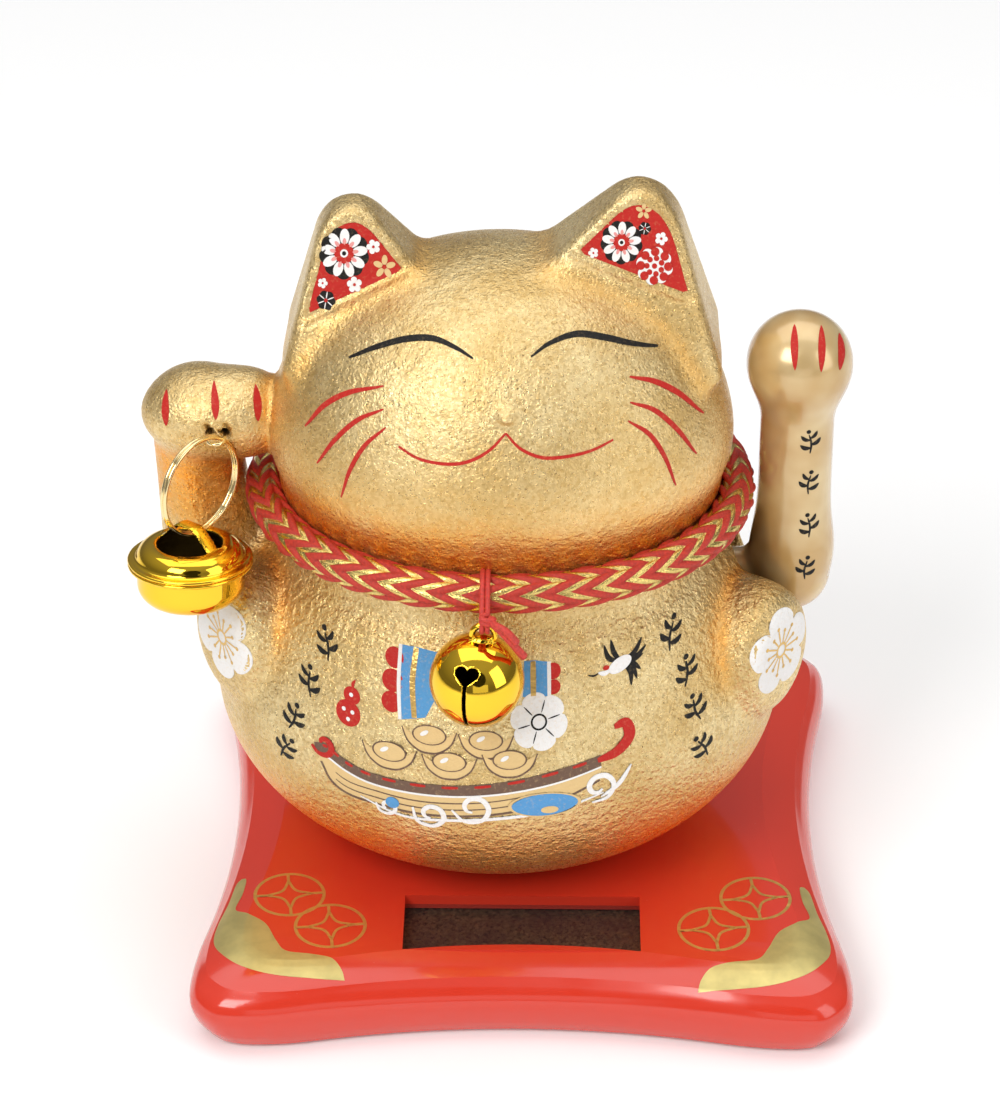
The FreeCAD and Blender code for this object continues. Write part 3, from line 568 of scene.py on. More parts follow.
class Paint:
    """A node material. Lengths in its patterns are in metres, as the object's coordinates are."""

    def __init__(self, name, colour, metallic=0.0, roughness=0.5, **inputs):
        self.material = bpy.data.materials.new(name)
        self.material.use_nodes = True
        self.tree = self.material.node_tree
        self.shader = self.tree.nodes["Principled BSDF"]
        self.place = self.tree.nodes.new("ShaderNodeTexCoord").outputs["Object"]
        self.put(self.shader, **{"Base Color": (*colour, 1.0), "Metallic": metallic, "Roughness": roughness})
        self.put(self.shader, **{key.replace("_", " "): value for key, value in inputs.items()})

    def feed(self, socket, value):
        """Links an output to a socket, or sets the socket's value."""
        if isinstance(value, bpy.types.NodeSocket):
            self.tree.links.new(value, socket)
        else:
            socket.default_value = value

    def put(self, node, **inputs):
        for name, value in inputs.items():
            self.feed(node.inputs[name], value)
        return node

    def add(self, kind, settings=None, **inputs):
        node = self.tree.nodes.new("ShaderNode" + kind)
        for name, value in (settings or {}).items():
            setattr(node, name, value)
        return self.put(node, **inputs)

    def noise(self, size_mm, detail=3.0, rough=0.55):
        return self.add("TexNoise", Vector=self.place, Scale=1.0 / (size_mm * MM), Detail=detail,
                        Roughness=rough).outputs["Fac"]

    def grains(self, size_mm, output="Color"):
        return self.add("TexVoronoi", Vector=self.place, Scale=1.0 / (size_mm * MM)).outputs[output]

    def spread(self, value, low, high, new_low, new_high):
        return self.add("MapRange", {"clamp": True}, Value=value, **{
            "From Min": low, "From Max": high, "To Min": new_low, "To Max": new_high}).outputs["Result"]

    def times(self, a, b):
        node = self.add("Math", {"operation": "MULTIPLY"})
        self.feed(node.inputs[0], a)
        self.feed(node.inputs[1], b)
        return node.outputs[0]

    def mix(self, share, a, b):
        """Colour a with a share of colour b over it."""
        node = self.add("Mix", {"data_type": "RGBA"})
        self.feed(node.inputs[0], share)
        for key, colour in ((6, a), (7, b)):
            self.feed(node.inputs[key], (*colour, 1.0) if isinstance(colour, tuple) else colour)
        return node.outputs[2]

    def attribute(self, name):
        return self.add("Attribute", {"attribute_name": name}).outputs["Fac"]

    def bump(self, height, depth_mm, strength=1.0, under=None):
        node = self.add("Bump", Height=height, Strength=strength, Distance=depth_mm * MM)
        if under is not None:
            self.tree.links.new(under, node.inputs["Normal"])
        return node.outputs["Normal"]

    def finish(self, **inputs):
        self.put(self.shader, **{key.replace("_", " "): value for key, value in inputs.items()})
        return self.material


def gold_glaze():
    """Sandy crackled gold glaze, coarser on the trunk, with orange airbrushing and painted shade in its
    creases.
    """
    paint = Paint("gold_glaze", (0.8, 0.6, 0.3), metallic=0.86)
    cloud = paint.noise(14.0, 2.0)
    gold = paint.mix(paint.spread(cloud, 0.35, 0.65, 0.0, 1.0), (0.69, 0.49, 0.21), (0.85, 0.67, 0.35))
    fleck = paint.grains(0.5)
    gold = paint.mix(paint.spread(fleck, 0.35, 0.9, 0.0, 0.5), gold, (0.48, 0.28, 0.07))
    uneven = paint.spread(paint.noise(3.0), 0.3, 0.7, 0.8, 1.2)
    # the orange here is partly real airbrushing and partly painted shade in creases and under the chin, hand
    # and belly
    patchy_shade = paint.times(paint.attribute("airbrush_and_shade"), uneven)
    colour = paint.mix(patchy_shade, gold, paint.mix(patchy_shade, (0.80, 0.47, 0.11), (0.95, 0.37, 0.035)))
    height = paint.add("SeparateXYZ", Vector=paint.place).outputs["Z"]
    coarse = paint.spread(height, 0.072, 0.092, 0.9, 0.35)
    crackle = paint.times(paint.spread(paint.noise(1.25, 2.0, 0.6), 0.3, 0.7, 0.0, 1.0), coarse)
    sand = paint.spread(paint.noise(0.42, 2.0, 0.65), 0.3, 0.7, 0.0, 1.0)
    rough = paint.spread(paint.grains(0.33), 0.0, 1.0, 0.20, 0.50)
    low = paint.bump(crackle, 0.30, 0.9)
    normal = paint.bump(sand, 0.085, 0.9, low)
    return paint.finish(Base_Color=colour, Roughness=rough, Normal=normal)


def pearl_gold():
    """Pearly moulded plastic with a soft polish."""
    paint = Paint("pearl_gold", (0.66, 0.46, 0.21), metallic=0.3, roughness=0.27, Coat_Weight=0.7,
                  Coat_Roughness=0.10)
    colour = paint.mix(paint.spread(paint.noise(9.0, 2.0), 0.35, 0.65, 0.0, 1.0), (0.56, 0.36, 0.14),
                       (0.69, 0.52, 0.27))
    return paint.finish(Base_Color=colour, Normal=paint.bump(paint.noise(1.2, 2.0), 0.02, 0.4))


def gloss_red():
    """Moulded red plastic with fine dust and faint sink marks."""
    red = (0.67, 0.040, 0.018)
    paint = Paint("gloss_red", red, roughness=0.16, Coat_Weight=0.4, Coat_Roughness=0.05)
    dust = paint.spread(paint.grains(2.2, "Distance"), 0.0, 0.035, 1.0, 0.0)
    colour = paint.mix(paint.times(dust, 0.5), red, (0.82, 0.40, 0.34))
    rough = paint.spread(paint.noise(5.0), 0.3, 0.7, 0.12, 0.22)
    sink = paint.bump(paint.noise(9.0, 2.0), 0.05, 0.35)
    return paint.finish(Base_Color=colour, Roughness=rough, Normal=sink)


def metal(name, colour, roughness, wave_mm=6.0, scratch=0.3):
    """Plated or bare metal, with faint waves and wear in its polish."""
    paint = Paint(name, colour, metallic=1.0, roughness=roughness)
    worn = paint.spread(paint.noise(2.5, 4.0), 0.35, 0.75, roughness * 0.7, roughness * 1.6)
    return paint.finish(Roughness=worn, Normal=paint.bump(paint.noise(wave_mm, 3.0), 0.05, scratch))


def moulded(name, colour, roughness=0.45, grain_mm=0.6, depth_mm=0.02, **inputs):
    """Plastic, card or rubber with a fine grain and slight change of tone."""
    paint = Paint(name, colour, roughness=roughness, **inputs)
    darker = tuple(0.78 * c for c in colour)
    tone = paint.mix(paint.spread(paint.noise(4.0), 0.35, 0.7, 0.0, 1.0), colour, darker)
    return paint.finish(Base_Color=tone, Normal=paint.bump(paint.noise(grain_mm), depth_mm, 0.8))


def ink(name, colour, roughness=0.5, metallic=0.0, wear=0.25):
    """Printed colour that follows the glaze's grain and is a little thin in places."""
    paint = Paint(name, colour, metallic=metallic, Specular_IOR_Level=0.2)
    thin = paint.spread(paint.noise(0.5, 2.0), 0.55, 0.75, 0.0, wear)
    tone = paint.mix(thin, colour, (0.72, 0.50, 0.24))
    low = paint.bump(paint.spread(paint.noise(0.85, 2.0, 0.6), 0.3, 0.7, 0.0, 1.0), 0.12, 0.7)
    return paint.finish(Base_Color=tone, Roughness=roughness, Normal=low)


def plait(name, colour, metallic, roughness):
    """Fine yarn or foil strip, ribbed along its length."""
    paint = Paint(name, colour, metallic=metallic, roughness=roughness)
    tone = paint.mix(paint.spread(paint.noise(0.45, 3.0), 0.3, 0.7, 0.0, 1.0), colour,
                     tuple(0.62 * c for c in colour))
    return paint.finish(Base_Color=tone, Normal=paint.bump(paint.noise(0.22, 2.0), 0.09, 0.9))


def solar_film():
    """Dark brown film with a fine speckle."""
    paint = Paint("solar_film", (0.02, 0.012, 0.012), roughness=0.25, Coat_Weight=0.5)
    cell = paint.mix(paint.grains(0.5), (0.035, 0.018, 0.012), (0.40, 0.22, 0.12))
    tint = paint.mix(paint.spread(paint.noise(8.0), 0.35, 0.7, 0.0, 0.6), cell, (0.12, 0.045, 0.05))
    return paint.finish(Base_Color=tint, Normal=paint.bump(paint.noise(0.4), 0.02, 0.5))


def clear_window():
    """A thin clear sheet: mostly see-through, with a polished face."""
    paint = Paint("clear_window", (0.06, 0.05, 0.05), roughness=0.05, Alpha=0.18)
    return paint.finish(Roughness=paint.spread(paint.noise(3.0), 0.4, 0.8, 0.03, 0.12))


def backdrop_white():
    paint = Paint("backdrop_white", (0.93, 0.93, 0.93), roughness=0.9, Emission_Color=(1, 1, 1, 1),
                  Emission_Strength=0.09)
    return paint.finish(Normal=paint.bump(paint.noise(20.0), 0.02, 0.2))


def named(maker, *looks):
    """Paints made by one function. Each look starts with the paint's name."""
    return {look[0]: maker(*look) for look in looks}


PAINTS = {
    "gold_glaze": gold_glaze(),
    "pearl_gold": pearl_gold(),
    "gloss_red": gloss_red(),
    "foil": moulded("foil", (0.70, 0.58, 0.22), 0.36, 0.5, 0.012, Metallic=0.6),
    **named(metal,
            ("bell_gold", (0.95, 0.60, 0.045), 0.07, 5.0, 0.35),
            ("ring_gold", (0.90, 0.72, 0.38), 0.16),
            # a near-black copy of the bell brass: painted shade inside the bells
            ("bell_inside", (0.09, 0.055, 0.012), 0.45)),
    **named(plait,
            ("cord_red", (0.60, 0.038, 0.020), 0.0, 0.62),
            ("cord_gold", (0.88, 0.66, 0.22), 1.0, 0.20),
            ("thread_red", (0.70, 0.05, 0.035), 0.0, 0.55)),
    **named(ink,
            ("ink_black", (0.012, 0.011, 0.010), 0.5, 0.0, 0.08),
            ("ink_red", (0.50, 0.022, 0.016), 0.5, 0.0, 0.12),
            ("ink_white", (0.86, 0.84, 0.82)),
            ("ink_blue", (0.10, 0.32, 0.62)),
            ("ink_brown", (0.16, 0.095, 0.065)),
            ("ink_gold", (0.72, 0.46, 0.14), 0.3, 0.7),
            ("ink_cream", (0.74, 0.52, 0.24)),
            ("ink_pink", (0.78, 0.32, 0.30))),
}

SLOT_PAINTS = {
    "red_plastic": PAINTS["gloss_red"],
    "gold_ceramic": PAINTS["gold_glaze"],
    "gold_plastic": PAINTS["pearl_gold"],
    "red_cord": PAINTS["cord_red"],
    "red_thread": PAINTS["thread_red"],
    "bell_gold": PAINTS["bell_gold"],
    "ring_gold": PAINTS["ring_gold"],
    "clear_sheet": clear_window(),
    "solar_cell": solar_film(),
    **named(metal,
            ("steel", (0.60, 0.60, 0.62), 0.28),
            ("copper", (0.72, 0.30, 0.12), 0.3, 0.25, 0.9),
            ("weight_metal", (0.42, 0.42, 0.43), 0.4),
            ("magnet", (0.68, 0.68, 0.70), 0.15)),
    **named(moulded,
            ("foam", (0.06, 0.06, 0.06), 0.9, 0.4, 0.15),
            ("board", (0.03, 0.20, 0.08), 0.35),
            ("white_plastic", (0.80, 0.80, 0.77), 0.4),
            ("capacitor", (0.05, 0.06, 0.20), 0.3),
            ("black_plastic", (0.02, 0.02, 0.02), 0.4),
            ("wire", (0.55, 0.03, 0.02), 0.4)),
}


# ---- the cat

def airbrush_and_shade(points):
    """How much orange the glaze carries at each point, from 0 to 1: partly real airbrushing, partly painted
    shade in creases and under the chin, hand and belly.
    """
    near_cord = cord_line(points) - CORD_RADIUS
    # painted shade under the chin and along the collar, mixed with orange airbrushing
    chin = 1.1 * np.exp(-np.maximum(near_cord, 0) / 8.5) * step_up(points[:, 2], 74.0, 82.0)
    below_cord = 0.5 * np.exp(-np.maximum(near_cord, 0) / 2.8)
    shade = np.maximum(chin, below_cord)
    # painted shade in the creases round the feet
    for side in FEET:
        away = np.abs(foot_field(points, side))
        skin = step_up(np.abs(half_space(points, FEET[side], sole_axes(side)[0])), 2.0, 5.0)
        skin = skin * step_up(-trunk_field(points), -2.5, 0.0)
        shade = np.maximum(shade, 0.95 * np.exp(-away / 2.6) * skin)
    # orange low on the belly, partly airbrushing and partly painted shade under its curve
    belly = ellipsoid(points, (CAT_X, 1, 41.5), (47, 42.5, 32.6))
    low = step_up(-points[:, 2], -44.0, -24.0) * step_up(-belly, -3.0, 0.0)
    shade = np.maximum(shade, low * (0.66 + 0.34 * step_up(np.abs(points[:, 0] - CAT_X), 8.0, 32.0)))
    # painted shade in the crease between the raised arm and the head
    arm = np.exp(-np.abs(paw_field(points)) / 2.0)
    shade = np.maximum(shade, 0.8 * arm * step_up(-head_field(points), -4.0, 0.0))
    # painted shade under the raised hand
    under_hand = step_up(-points[:, 2], -89.0, -83.0) * step_up(points[:, 2], 60.0, 78.0)
    under_hand = 0.75 * under_hand * step_up(-points[:, 0], 42.0, 47.0)
    shade = np.maximum(shade, under_hand * step_up(-points[:, 1], -8.0, 2.0))
    # painted shade at the roots of the ears
    for name in EARS:
        foot = np.exp(-np.abs(ear_field(points, name)) / 1.4) * step_up(-head_field(points), -3.0, 0.0)
        shade = np.maximum(shade, 0.6 * foot)
    return np.clip(shade, 0, 1)


def cat():
    points, faces, normals = net(cat_field, (-66, -46, 11), (54, 52, 137), 1.0)
    piece = add_mesh("cat_glazed_body", points, faces, ["gold_glaze"], "base", normals)
    # each point's share of orange airbrushing and painted shade for the glaze
    values = piece.data.attributes.new("airbrush_and_shade", "FLOAT", "POINT")
    values.data.foreach_set("value", airbrush_and_shade(points).astype(np.float32))
    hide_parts("cat_body")


def arm():
    points, faces, normals = net(arm_field, (28, -8, 48), (56, 14, 108), 0.75)
    piece = add_mesh("swing_arm_shell", points, faces, ["pearl_gold"], "arm", normals)
    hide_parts("swing_arm_front", "swing_arm_back")


# ---- collar

def collar():
    """A braid of eight columns, each with a red strand and a narrow gold strip in turn, in chevrons."""
    columns, across, pitches = 8, 6, 44
    red_part, red_steps, gold_steps = 0.60, 7, 5
    phases = np.concatenate([np.linspace(0, red_part, red_steps, endpoint=False),
                             np.linspace(red_part, 1, gold_steps, endpoint=False)])
    red_hump = 0.42 * np.sin(math.pi * phases[:red_steps] / red_part) ** 0.6
    gold_hump = 0.12 * np.sin(math.pi * (phases[red_steps:] - red_part) / (1 - red_part)) ** 0.6
    a = np.arange(columns * across) / across
    fold = 1 - np.abs((a % 2) - 1)
    groove = 0.36 * np.abs(2 * (a % 1) - 1) ** 3
    turn_at = 2 * math.pi * a / columns + math.pi / columns
    phase = (np.arange(pitches)[:, None] + phases).ravel()
    rise = np.tile(np.concatenate([red_hump, gold_hump]), pitches)
    where = (phase[:, None] + 0.95 * fold) * 2 * math.pi / pitches
    reach = CORD_RADIUS - 0.22 + rise[:, None] - groove
    out = np.stack([np.cos(where) * CORD_HALF[1], np.sin(where) * CORD_HALF[0], 0 * where], -1)
    out /= length(out)[..., None]
    centre = np.stack([CORD_HALF[0] * np.cos(where), CORD_HALF[1] * np.sin(where), 0 * where], -1)
    up = np.array([0, 0, 1.0])
    points = centre + reach[..., None] * (np.cos(turn_at)[:, None] * out + np.sin(turn_at)[:, None] * up)
    faces = grid_faces(len(phase), len(a), wrap_rows=True, wrap_columns=True)
    gold = np.repeat(np.tile(np.arange(len(phases)) >= red_steps, pitches), len(a))
    piece = add_mesh("collar_braid", points.reshape(-1, 3) + CORD_CENTRE, faces,
                     ["cord_red", "cord_gold"], "base", choice=gold)
    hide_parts("collar_cord")


HANG = np.array([-5.9, -42.2, 75.6])
THREAD_RADIUS = 0.42


def thread():
    """The bell's red thread: a loop round the cord and the bell's eye, a knot and two tails."""
    x, y, z = HANG
    near = np.array([CORD_CENTRE[1] - CORD_HALF[1], CORD_CENTRE[2]])
    far = np.array([y, z])
    wrap, small = 3.55, 1.0     # the loop's radius round the cord and round the bell's eye
    span = far - near
    lean = math.atan2(span[1], span[0])
    half = math.acos((wrap - small) / math.hypot(*span))
    front = lean + np.linspace(half, 2 * math.pi - half, 40)
    back = lean + np.linspace(-half, half, 12)
    flat = np.concatenate([near + wrap * rays(front), far + small * rays(back)])
    loops = []
    for shift in (-THREAD_RADIUS, THREAD_RADIUS):
        path = np.column_stack([np.full(len(flat), x + shift), flat])
        loops.append(tube(path, THREAD_RADIUS, closed=True))
    knot = np.array([x + 0.5, y - 0.9, z + 1.5])
    angle = np.linspace(0, 4 * math.pi, 40)
    winding = knot + np.stack([1.0 * np.sin(angle), 0.55 * np.cos(angle), 0.11 * angle - 0.7], -1)
    loops.append(tube(winding, THREAD_RADIUS))
    for end, sag in (((4.4, -1.6, -3.0), 0.6), ((5.6, -0.6, -6.2), 0.2)):
        tip = knot + np.array(end)
        bend = (knot + tip) / 2 + np.array([sag, -1.4, 1.0])
        path = smooth_line([knot, bend, tip], 10)
        loops.append(tube(path, np.linspace(0.45, 0.7, len(path))))
    points, faces = merged(loops)
    piece = add_mesh("bell_thread_tied", points, faces, ["thread_red"], "base")
    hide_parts("bell_thread")


# ---- bells

BELL_RADIUS = 7.5
BELL_TURN = turn("y", 7.0)
EYE_DROP = 1.7
BELL_CENTRE = HANG - BELL_TURN @ np.array([0, 0, EYE_DROP + 0.9 + BELL_RADIUS])
EYE_CENTRE = HANG - BELL_TURN @ np.array([0, 0, EYE_DROP])
FACE_TURN = turn("z", -15.0) @ turn("x", -36.0)


def heart(u, v, wide):
    """Distance-like value of a heart outline, negative inside."""
    u, v = np.abs(u) / wide, v / wide
    lobes = np.hypot(u - 0.5, v - 0.25) - 0.52
    wedge = np.maximum(np.maximum(0.707 * (u - v) - 0.696, v - 0.25), u - 0.868)
    return np.minimum(lobes, wedge) * wide


def neck_bell_field(points):
    """A pressed ball with a heart-shaped hole and a slit down from it, and a ring to hang by."""
    q = points - BELL_CENTRE
    skin = np.abs(length(q) - BELL_RADIUS + 0.35) - 0.35
    face = q @ FACE_TURN
    hole = np.maximum(heart(face[..., 0], face[..., 2], 1.85), face[..., 1])
    slit = np.maximum(np.abs(face[..., 0]) - 0.27, np.maximum(face[..., 2] + 1.0, face[..., 1] - 3.0))
    skin = carve(skin, np.minimum(hole, slit), 0.12)
    eye = points - EYE_CENTRE
    ring = np.hypot(column(eye, 1) - 1.75, eye[..., 1]) - 0.5
    foot = ellipsoid(points, BELL_CENTRE + BELL_TURN @ np.array([0, 0, BELL_RADIUS]), (1.5, 1.0, 0.7))
    return join(join(skin, foot, 0.3), ring, 0.35)


RING_CENTRE = np.array([-51.7, -16.3, 85.1])
RING_RADIUS = 8.15
RING_TURN = 50.0
HANG_ANGLE = math.radians(20.0)
RING_SIDE = np.array([*rays(math.radians(RING_TURN)), 0])
HANG_WAY = RING_SIDE * math.sin(HANG_ANGLE) + np.array([0, 0, math.cos(HANG_ANGLE)])
BASIN_HANG = RING_CENTRE - RING_RADIUS * HANG_WAY
BASIN_TURN = turn("x", -6.0) @ turn("z", RING_TURN)
BASIN_RADIUS = 8.7
BASIN_INSIDE = 8.05
FLANGE_RADIUS = 10.1
FLANGE_INSIDE = 8.2
MOUTH_RADIUS = 5.2


def barrel(q, radius, low, high, edge):
    """An upright round drum with rounded edges."""
    across = column(q) - radius + edge
    tall = np.abs(q[..., 2] - (low + high) / 2) - (high - low) / 2 + edge
    outside = np.hypot(np.maximum(across, 0), np.maximum(tall, 0))
    return outside + np.minimum(np.maximum(across, tall), 0) - edge


def basin_top_field(points):
    """The domed top: an open mouth with a strap across it, and the flange below."""
    q = (points - BASIN_HANG) @ BASIN_TURN
    dome = np.maximum(barrel(q, BASIN_RADIUS, -12.0, -1.55, 2.6), -4.6 - q[..., 2])
    dome = carve(dome, barrel(q, BASIN_INSIDE, -12.0, -2.25, 2.0), 0.2)
    dome = carve(dome, column(q) - MOUTH_RADIUS, 0.5)
    flange = np.maximum(barrel(q, FLANGE_RADIUS, -4.62, -3.95, 0.33), FLANGE_INSIDE - column(q))
    reach = np.clip(q[..., 1], -5.8, 5.8)
    arch = 1.45 - 3.6 * step_up(np.abs(reach), 1.2, 6.4)
    flat = np.hypot((q[..., 2] - arch) / 0.32, q[..., 0] / 1.25) - 1
    strap = np.maximum(flat * 0.28, np.abs(q[..., 1]) - 6.0)
    return join(join(dome, flange, 0.6), strap, 0.3)


def basin_field(points):
    """The deep lower half, with its flange and the slot in its floor."""
    q = (points - BASIN_HANG) @ BASIN_TURN
    tall = np.maximum(barrel(q, BASIN_RADIUS, -11.6, 2.0, 3.3), q[..., 2] + 4.64)
    tall = carve(tall, barrel(q, BASIN_INSIDE, -10.95, 4.0, 2.8), 0.2)
    flange = np.maximum(barrel(q, FLANGE_RADIUS, -5.25, -4.64, 0.30), FLANGE_INSIDE - column(q))
    slot = np.maximum(np.maximum(np.abs(q[..., 0]) - 6.0, np.abs(q[..., 1]) - 0.8), q[..., 2] + 8.0)
    return carve(join(tall, flange, 0.6), slot, 0.15)


def pressed_bell(name, field, low, high, step, middle, body, *nodes):
    """A piece of sheet brass, bright outside; the side that faces its middle is dull and painted dark as
    shade in the hollow.
    """
    points, faces, normals = net(field, low, high, step)
    inward = ((points - middle) * normals).sum(-1) < 0
    choice = inward[faces].sum(-1) > 2
    # inner faces take the dark copy of the brass as painted shade in the hollow
    paints = ["bell_gold", "bell_inside"]
    piece = add_mesh(name, points, faces, paints, body, normals, choice)
    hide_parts(*nodes)


def bells():
    """The round bell at the neck, and the two halves of the flanged bell under the hand."""
    low, high = BELL_CENTRE - 9.5, BELL_CENTRE + 9.5
    high[2] = HANG[2] + 2.0
    pressed_bell("neck_bell_pressed", neck_bell_field, low, high, 0.26, BELL_CENTRE, "neck_bell",
                 "neck_bell_upper", "neck_bell_lower")
    middle = BASIN_HANG + BASIN_TURN @ np.array([0, 0, -5.0])
    pressed_bell("paw_bell_dome", basin_top_field, BASIN_HANG + (-12, -14, -7), BASIN_HANG + (12, 12, 4), 0.3,
                 middle, "paw_bell", "paw_bell_upper")
    pressed_bell("paw_bell_basin", basin_field, BASIN_HANG + (-12, -14, -14), BASIN_HANG + (12, 12, -2), 0.3,
                 middle, "paw_bell", "paw_bell_lower")


def wire_link():
    """The bent wire under the hand that holds the paw bell's ring."""
    angle = np.linspace(0, math.pi, 20)
    bow = np.stack([-LINK_HALF * np.cos(angle), -5.3 - LINK_HALF * np.sin(angle), 0 * angle], -1)
    legs = [[-LINK_HALF, 0, 0]], bow, [[LINK_HALF, 0, 0]]
    points, faces = tube(LINK_ROOT + np.concatenate(legs), 0.3, 12)
    piece = add_mesh("paw_wire_bow", points, faces, ["ring_gold"], "base")
    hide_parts("paw_wire_link")


# ---- painted details

ON_FRONT = onto(cat_outside, (0, 1, 0))
ON_ARM = onto(arm_field, (0, 1, 0))
# The claws on the swinging arm are laid from the front and above.
ON_PAW = onto(arm_field, (0, 0.852, -0.524), (0, 0, 63.4), up=(0, 0.524, 0.852))


def on_sole(side):
    """A way to lay flat points on a foot's sole."""
    facing, across = sole_axes(side)
    return onto(cat_outside, -facing, FEET[side], across, start=8.0)


def lay(name, paint, shapes, place=ON_FRONT, lift=0.05, body="base", depth=0.15):
    """A thin closed film of paint, laid onto a surface."""
    flat, faces = merged(shapes)
    on, normals = place(flat)
    n = len(on)
    points = np.concatenate([on + normals * lift, on - normals * depth])
    rims = [[a, a + n, b + n, b] for a, b in rim_edges(faces)]
    under = [[i + n for i in reversed(face)] for face in faces]
    both = np.concatenate([normals, -normals])
    add_mesh(name, points, faces + under + rims, [paint], body, both)


def face():
    """Closed eyes, mouth and whiskers."""
    left_eye = [(-7.9, 112.1), (-10.8, 113.1), (-14.3, 113.6), (-18.7, 112.8), (-23.4, 110.9), (-27.5, 108.6)]
    right_eye = [(1.0, 112.3), (3.9, 113.5), (8.0, 113.9), (12.4, 112.8), (16.6, 111.2), (20.8, 109.5)]
    lay("closed_eyes", "ink_black", [stroke(left_eye, 0.62, 0.3, 10), stroke(right_eye, 0.62, 0.3, 10)])
    mouth = [(-19.4, 99.7), (-16.1, 98.5), (-11.7, 98.3), (-8.3, 99.0), (-5.2, 100.7), (-2.8, 103.0),
             (-0.6, 100.9), (2.5, 99.5), (5.8, 99.2), (10.2, 99.5), (13.8, 100.4)]
    lay("mouth", "ink_red", [stroke(mouth[:6], 0.5, 0.6, 10), stroke(mouth[5:], 0.5, 0.6, 10)])
    whiskers = [
        [(-21.8, 107.1), (-27.2, 104.8), (-31.3, 101.6), (-34.5, 97.3)],
        [(-21.8, 104.2), (-25.9, 101.7), (-29.6, 97.7), (-32.5, 93.1)],
        [(-21.4, 101.9), (-24.7, 98.6), (-27.1, 94.3), (-28.6, 89.3)],
        [(16.3, 107.8), (20.3, 106.0), (24.3, 102.9), (28.2, 98.4)],
        [(16.4, 104.7), (20.3, 102.5), (24.0, 98.5), (27.1, 93.6)],
        [(16.1, 102.4), (19.5, 99.6), (22.0, 95.5), (23.8, 90.4)]]
    lay("whiskers", "ink_red", [stroke(line, 0.62, 0.25, 10) for line in whiskers])


NOSE = (-2.7, 105.4)


def nose_field(points):
    """The face with a small bump for the nose."""
    tip = points - np.array([NOSE[0], 0, NOSE[1]])
    return cat_outside(points) - 1.5 * np.exp(-(tip[..., 0] / 1.6) ** 2 - (tip[..., 2] / 1.0) ** 2)


def nose():
    """A small raised drop of glaze."""
    shape = disc(NOSE, 2.6, rings=8, flat=0.72)
    lay("nose", "gold_glaze", [shape], onto(nose_field, (0, 1, 0)), 0.03)


def claws():
    """Three claws on the raised hand and three on the swinging arm's paw."""
    hand = [[(-57.4, 96.4), (-57.5, 94.2), (-57.4, 91.9)], [(-49.8, 98.0), (-49.4, 95.8), (-49.3, 93.7)],
            [(-43.2, 97.4), (-42.7, 95.3), (-42.6, 93.0)]]
    lay("hand_claws", "ink_red", [stroke(line, 1.25, 0.1, 8) for line in hand])
    paw = [[(43.0, 36.4), (42.9, 32.8), (43.0, 29.0)], [(47.3, 36.3), (47.3, 32.6), (47.2, 28.8)],
           [(50.3, 35.2), (50.6, 32.2), (50.3, 29.2)]]
    lay("paw_claws", "ink_red", [stroke(line, 1.2, 0.1, 8) for line in paw], ON_PAW, body="arm")


def leaf(base, tip, wide, bow=0.15):
    """A leaf-shaped brush mark between two points."""
    base, tip = np.asarray(base, float), np.asarray(tip, float)
    side = np.array([base[1] - tip[1], tip[0] - base[0]]) * bow
    return stroke([base, (base + tip) / 2 + side, tip], wide, 0.05, 6)


def sprig(centre, size, tilt, mirror=1):
    """A sprig with four leaves and a bud, painted with a brush."""
    marks = [stroke([(-0.1, -1.0), (0.08, -0.2), (0.0, 0.6)], 0.16, 0.4),
             leaf((0.02, -0.55), (-0.75, -0.15), 0.34), leaf((0.06, -0.3), (0.8, 0.05), 0.34, -0.15),
             leaf((0.05, 0.1), (-0.6, 0.62), 0.30), leaf((0.04, 0.25), (0.62, 0.75), 0.28, -0.15),
             disc((0.0, 0.86), 0.17, 14, 2)]
    points, faces = merged(marks)
    points = turned(points * [mirror, 1], tilt) * size + np.asarray(centre, float)
    if mirror < 0:
        faces = [face[::-1] for face in faces]
    return points, faces


def sprigs():
    """A column of sprigs on each side of the belly and one down the swinging arm."""
    left = [(-31.5, 61.8), (-34.3, 55.4), (-37.0, 48.8), (-38.4, 42.9)]
    right = [(23.7, 63.4), (26.2, 57.2), (27.8, 51.0), (29.0, 44.2)]
    marks = [sprig(p, 2.35, 12 - 14 * k, 1 - 2 * (k % 2)) for k, p in enumerate(left)]
    marks += [sprig(p, 2.35, -12 + 14 * k, 2 * (k % 2) - 1) for k, p in enumerate(right)]
    lay("belly_sprigs", "ink_black", marks)
    on_arm = [(46.1, 86.1), (46.3, 78.4), (46.5, 70.4), (46.3, 62.7)]
    marks = [sprig(p, 2.2, 8 - 16 * (k % 2), 1 - 2 * (k % 2)) for k, p in enumerate(on_arm)]
    lay("arm_sprigs", "ink_black", marks, ON_ARM, body="arm")


def blossoms():
    """A white blossom with a gold ring and stamens on each sole."""
    for side, name in ((-1, "left"), (1, "right")):
        centre = np.array([1.0, 1.4]) if side < 0 else np.array([-0.6, 1.8])
        place = on_sole(side)
        white = flower(centre, 7.6, tilt=18 if side < 0 else 54, dent=0.28, rings=6)
        lay(f"{name}_blossom", "ink_white", [white], place)
        gold = [annulus(centre, 1.0, 1.45)]
        for k, ray in enumerate(rays(full_turn(14))):
            reach = 3.6 if k % 2 else 4.5
            gold.append(stroke([centre + ray * 1.4, centre + ray * reach], 0.34, 0.6, 3))
            gold.append(disc(centre + ray * reach, 0.36, 10, 1))
        lay(f"{name}_stamens", "ink_gold", gold, place, 0.09)


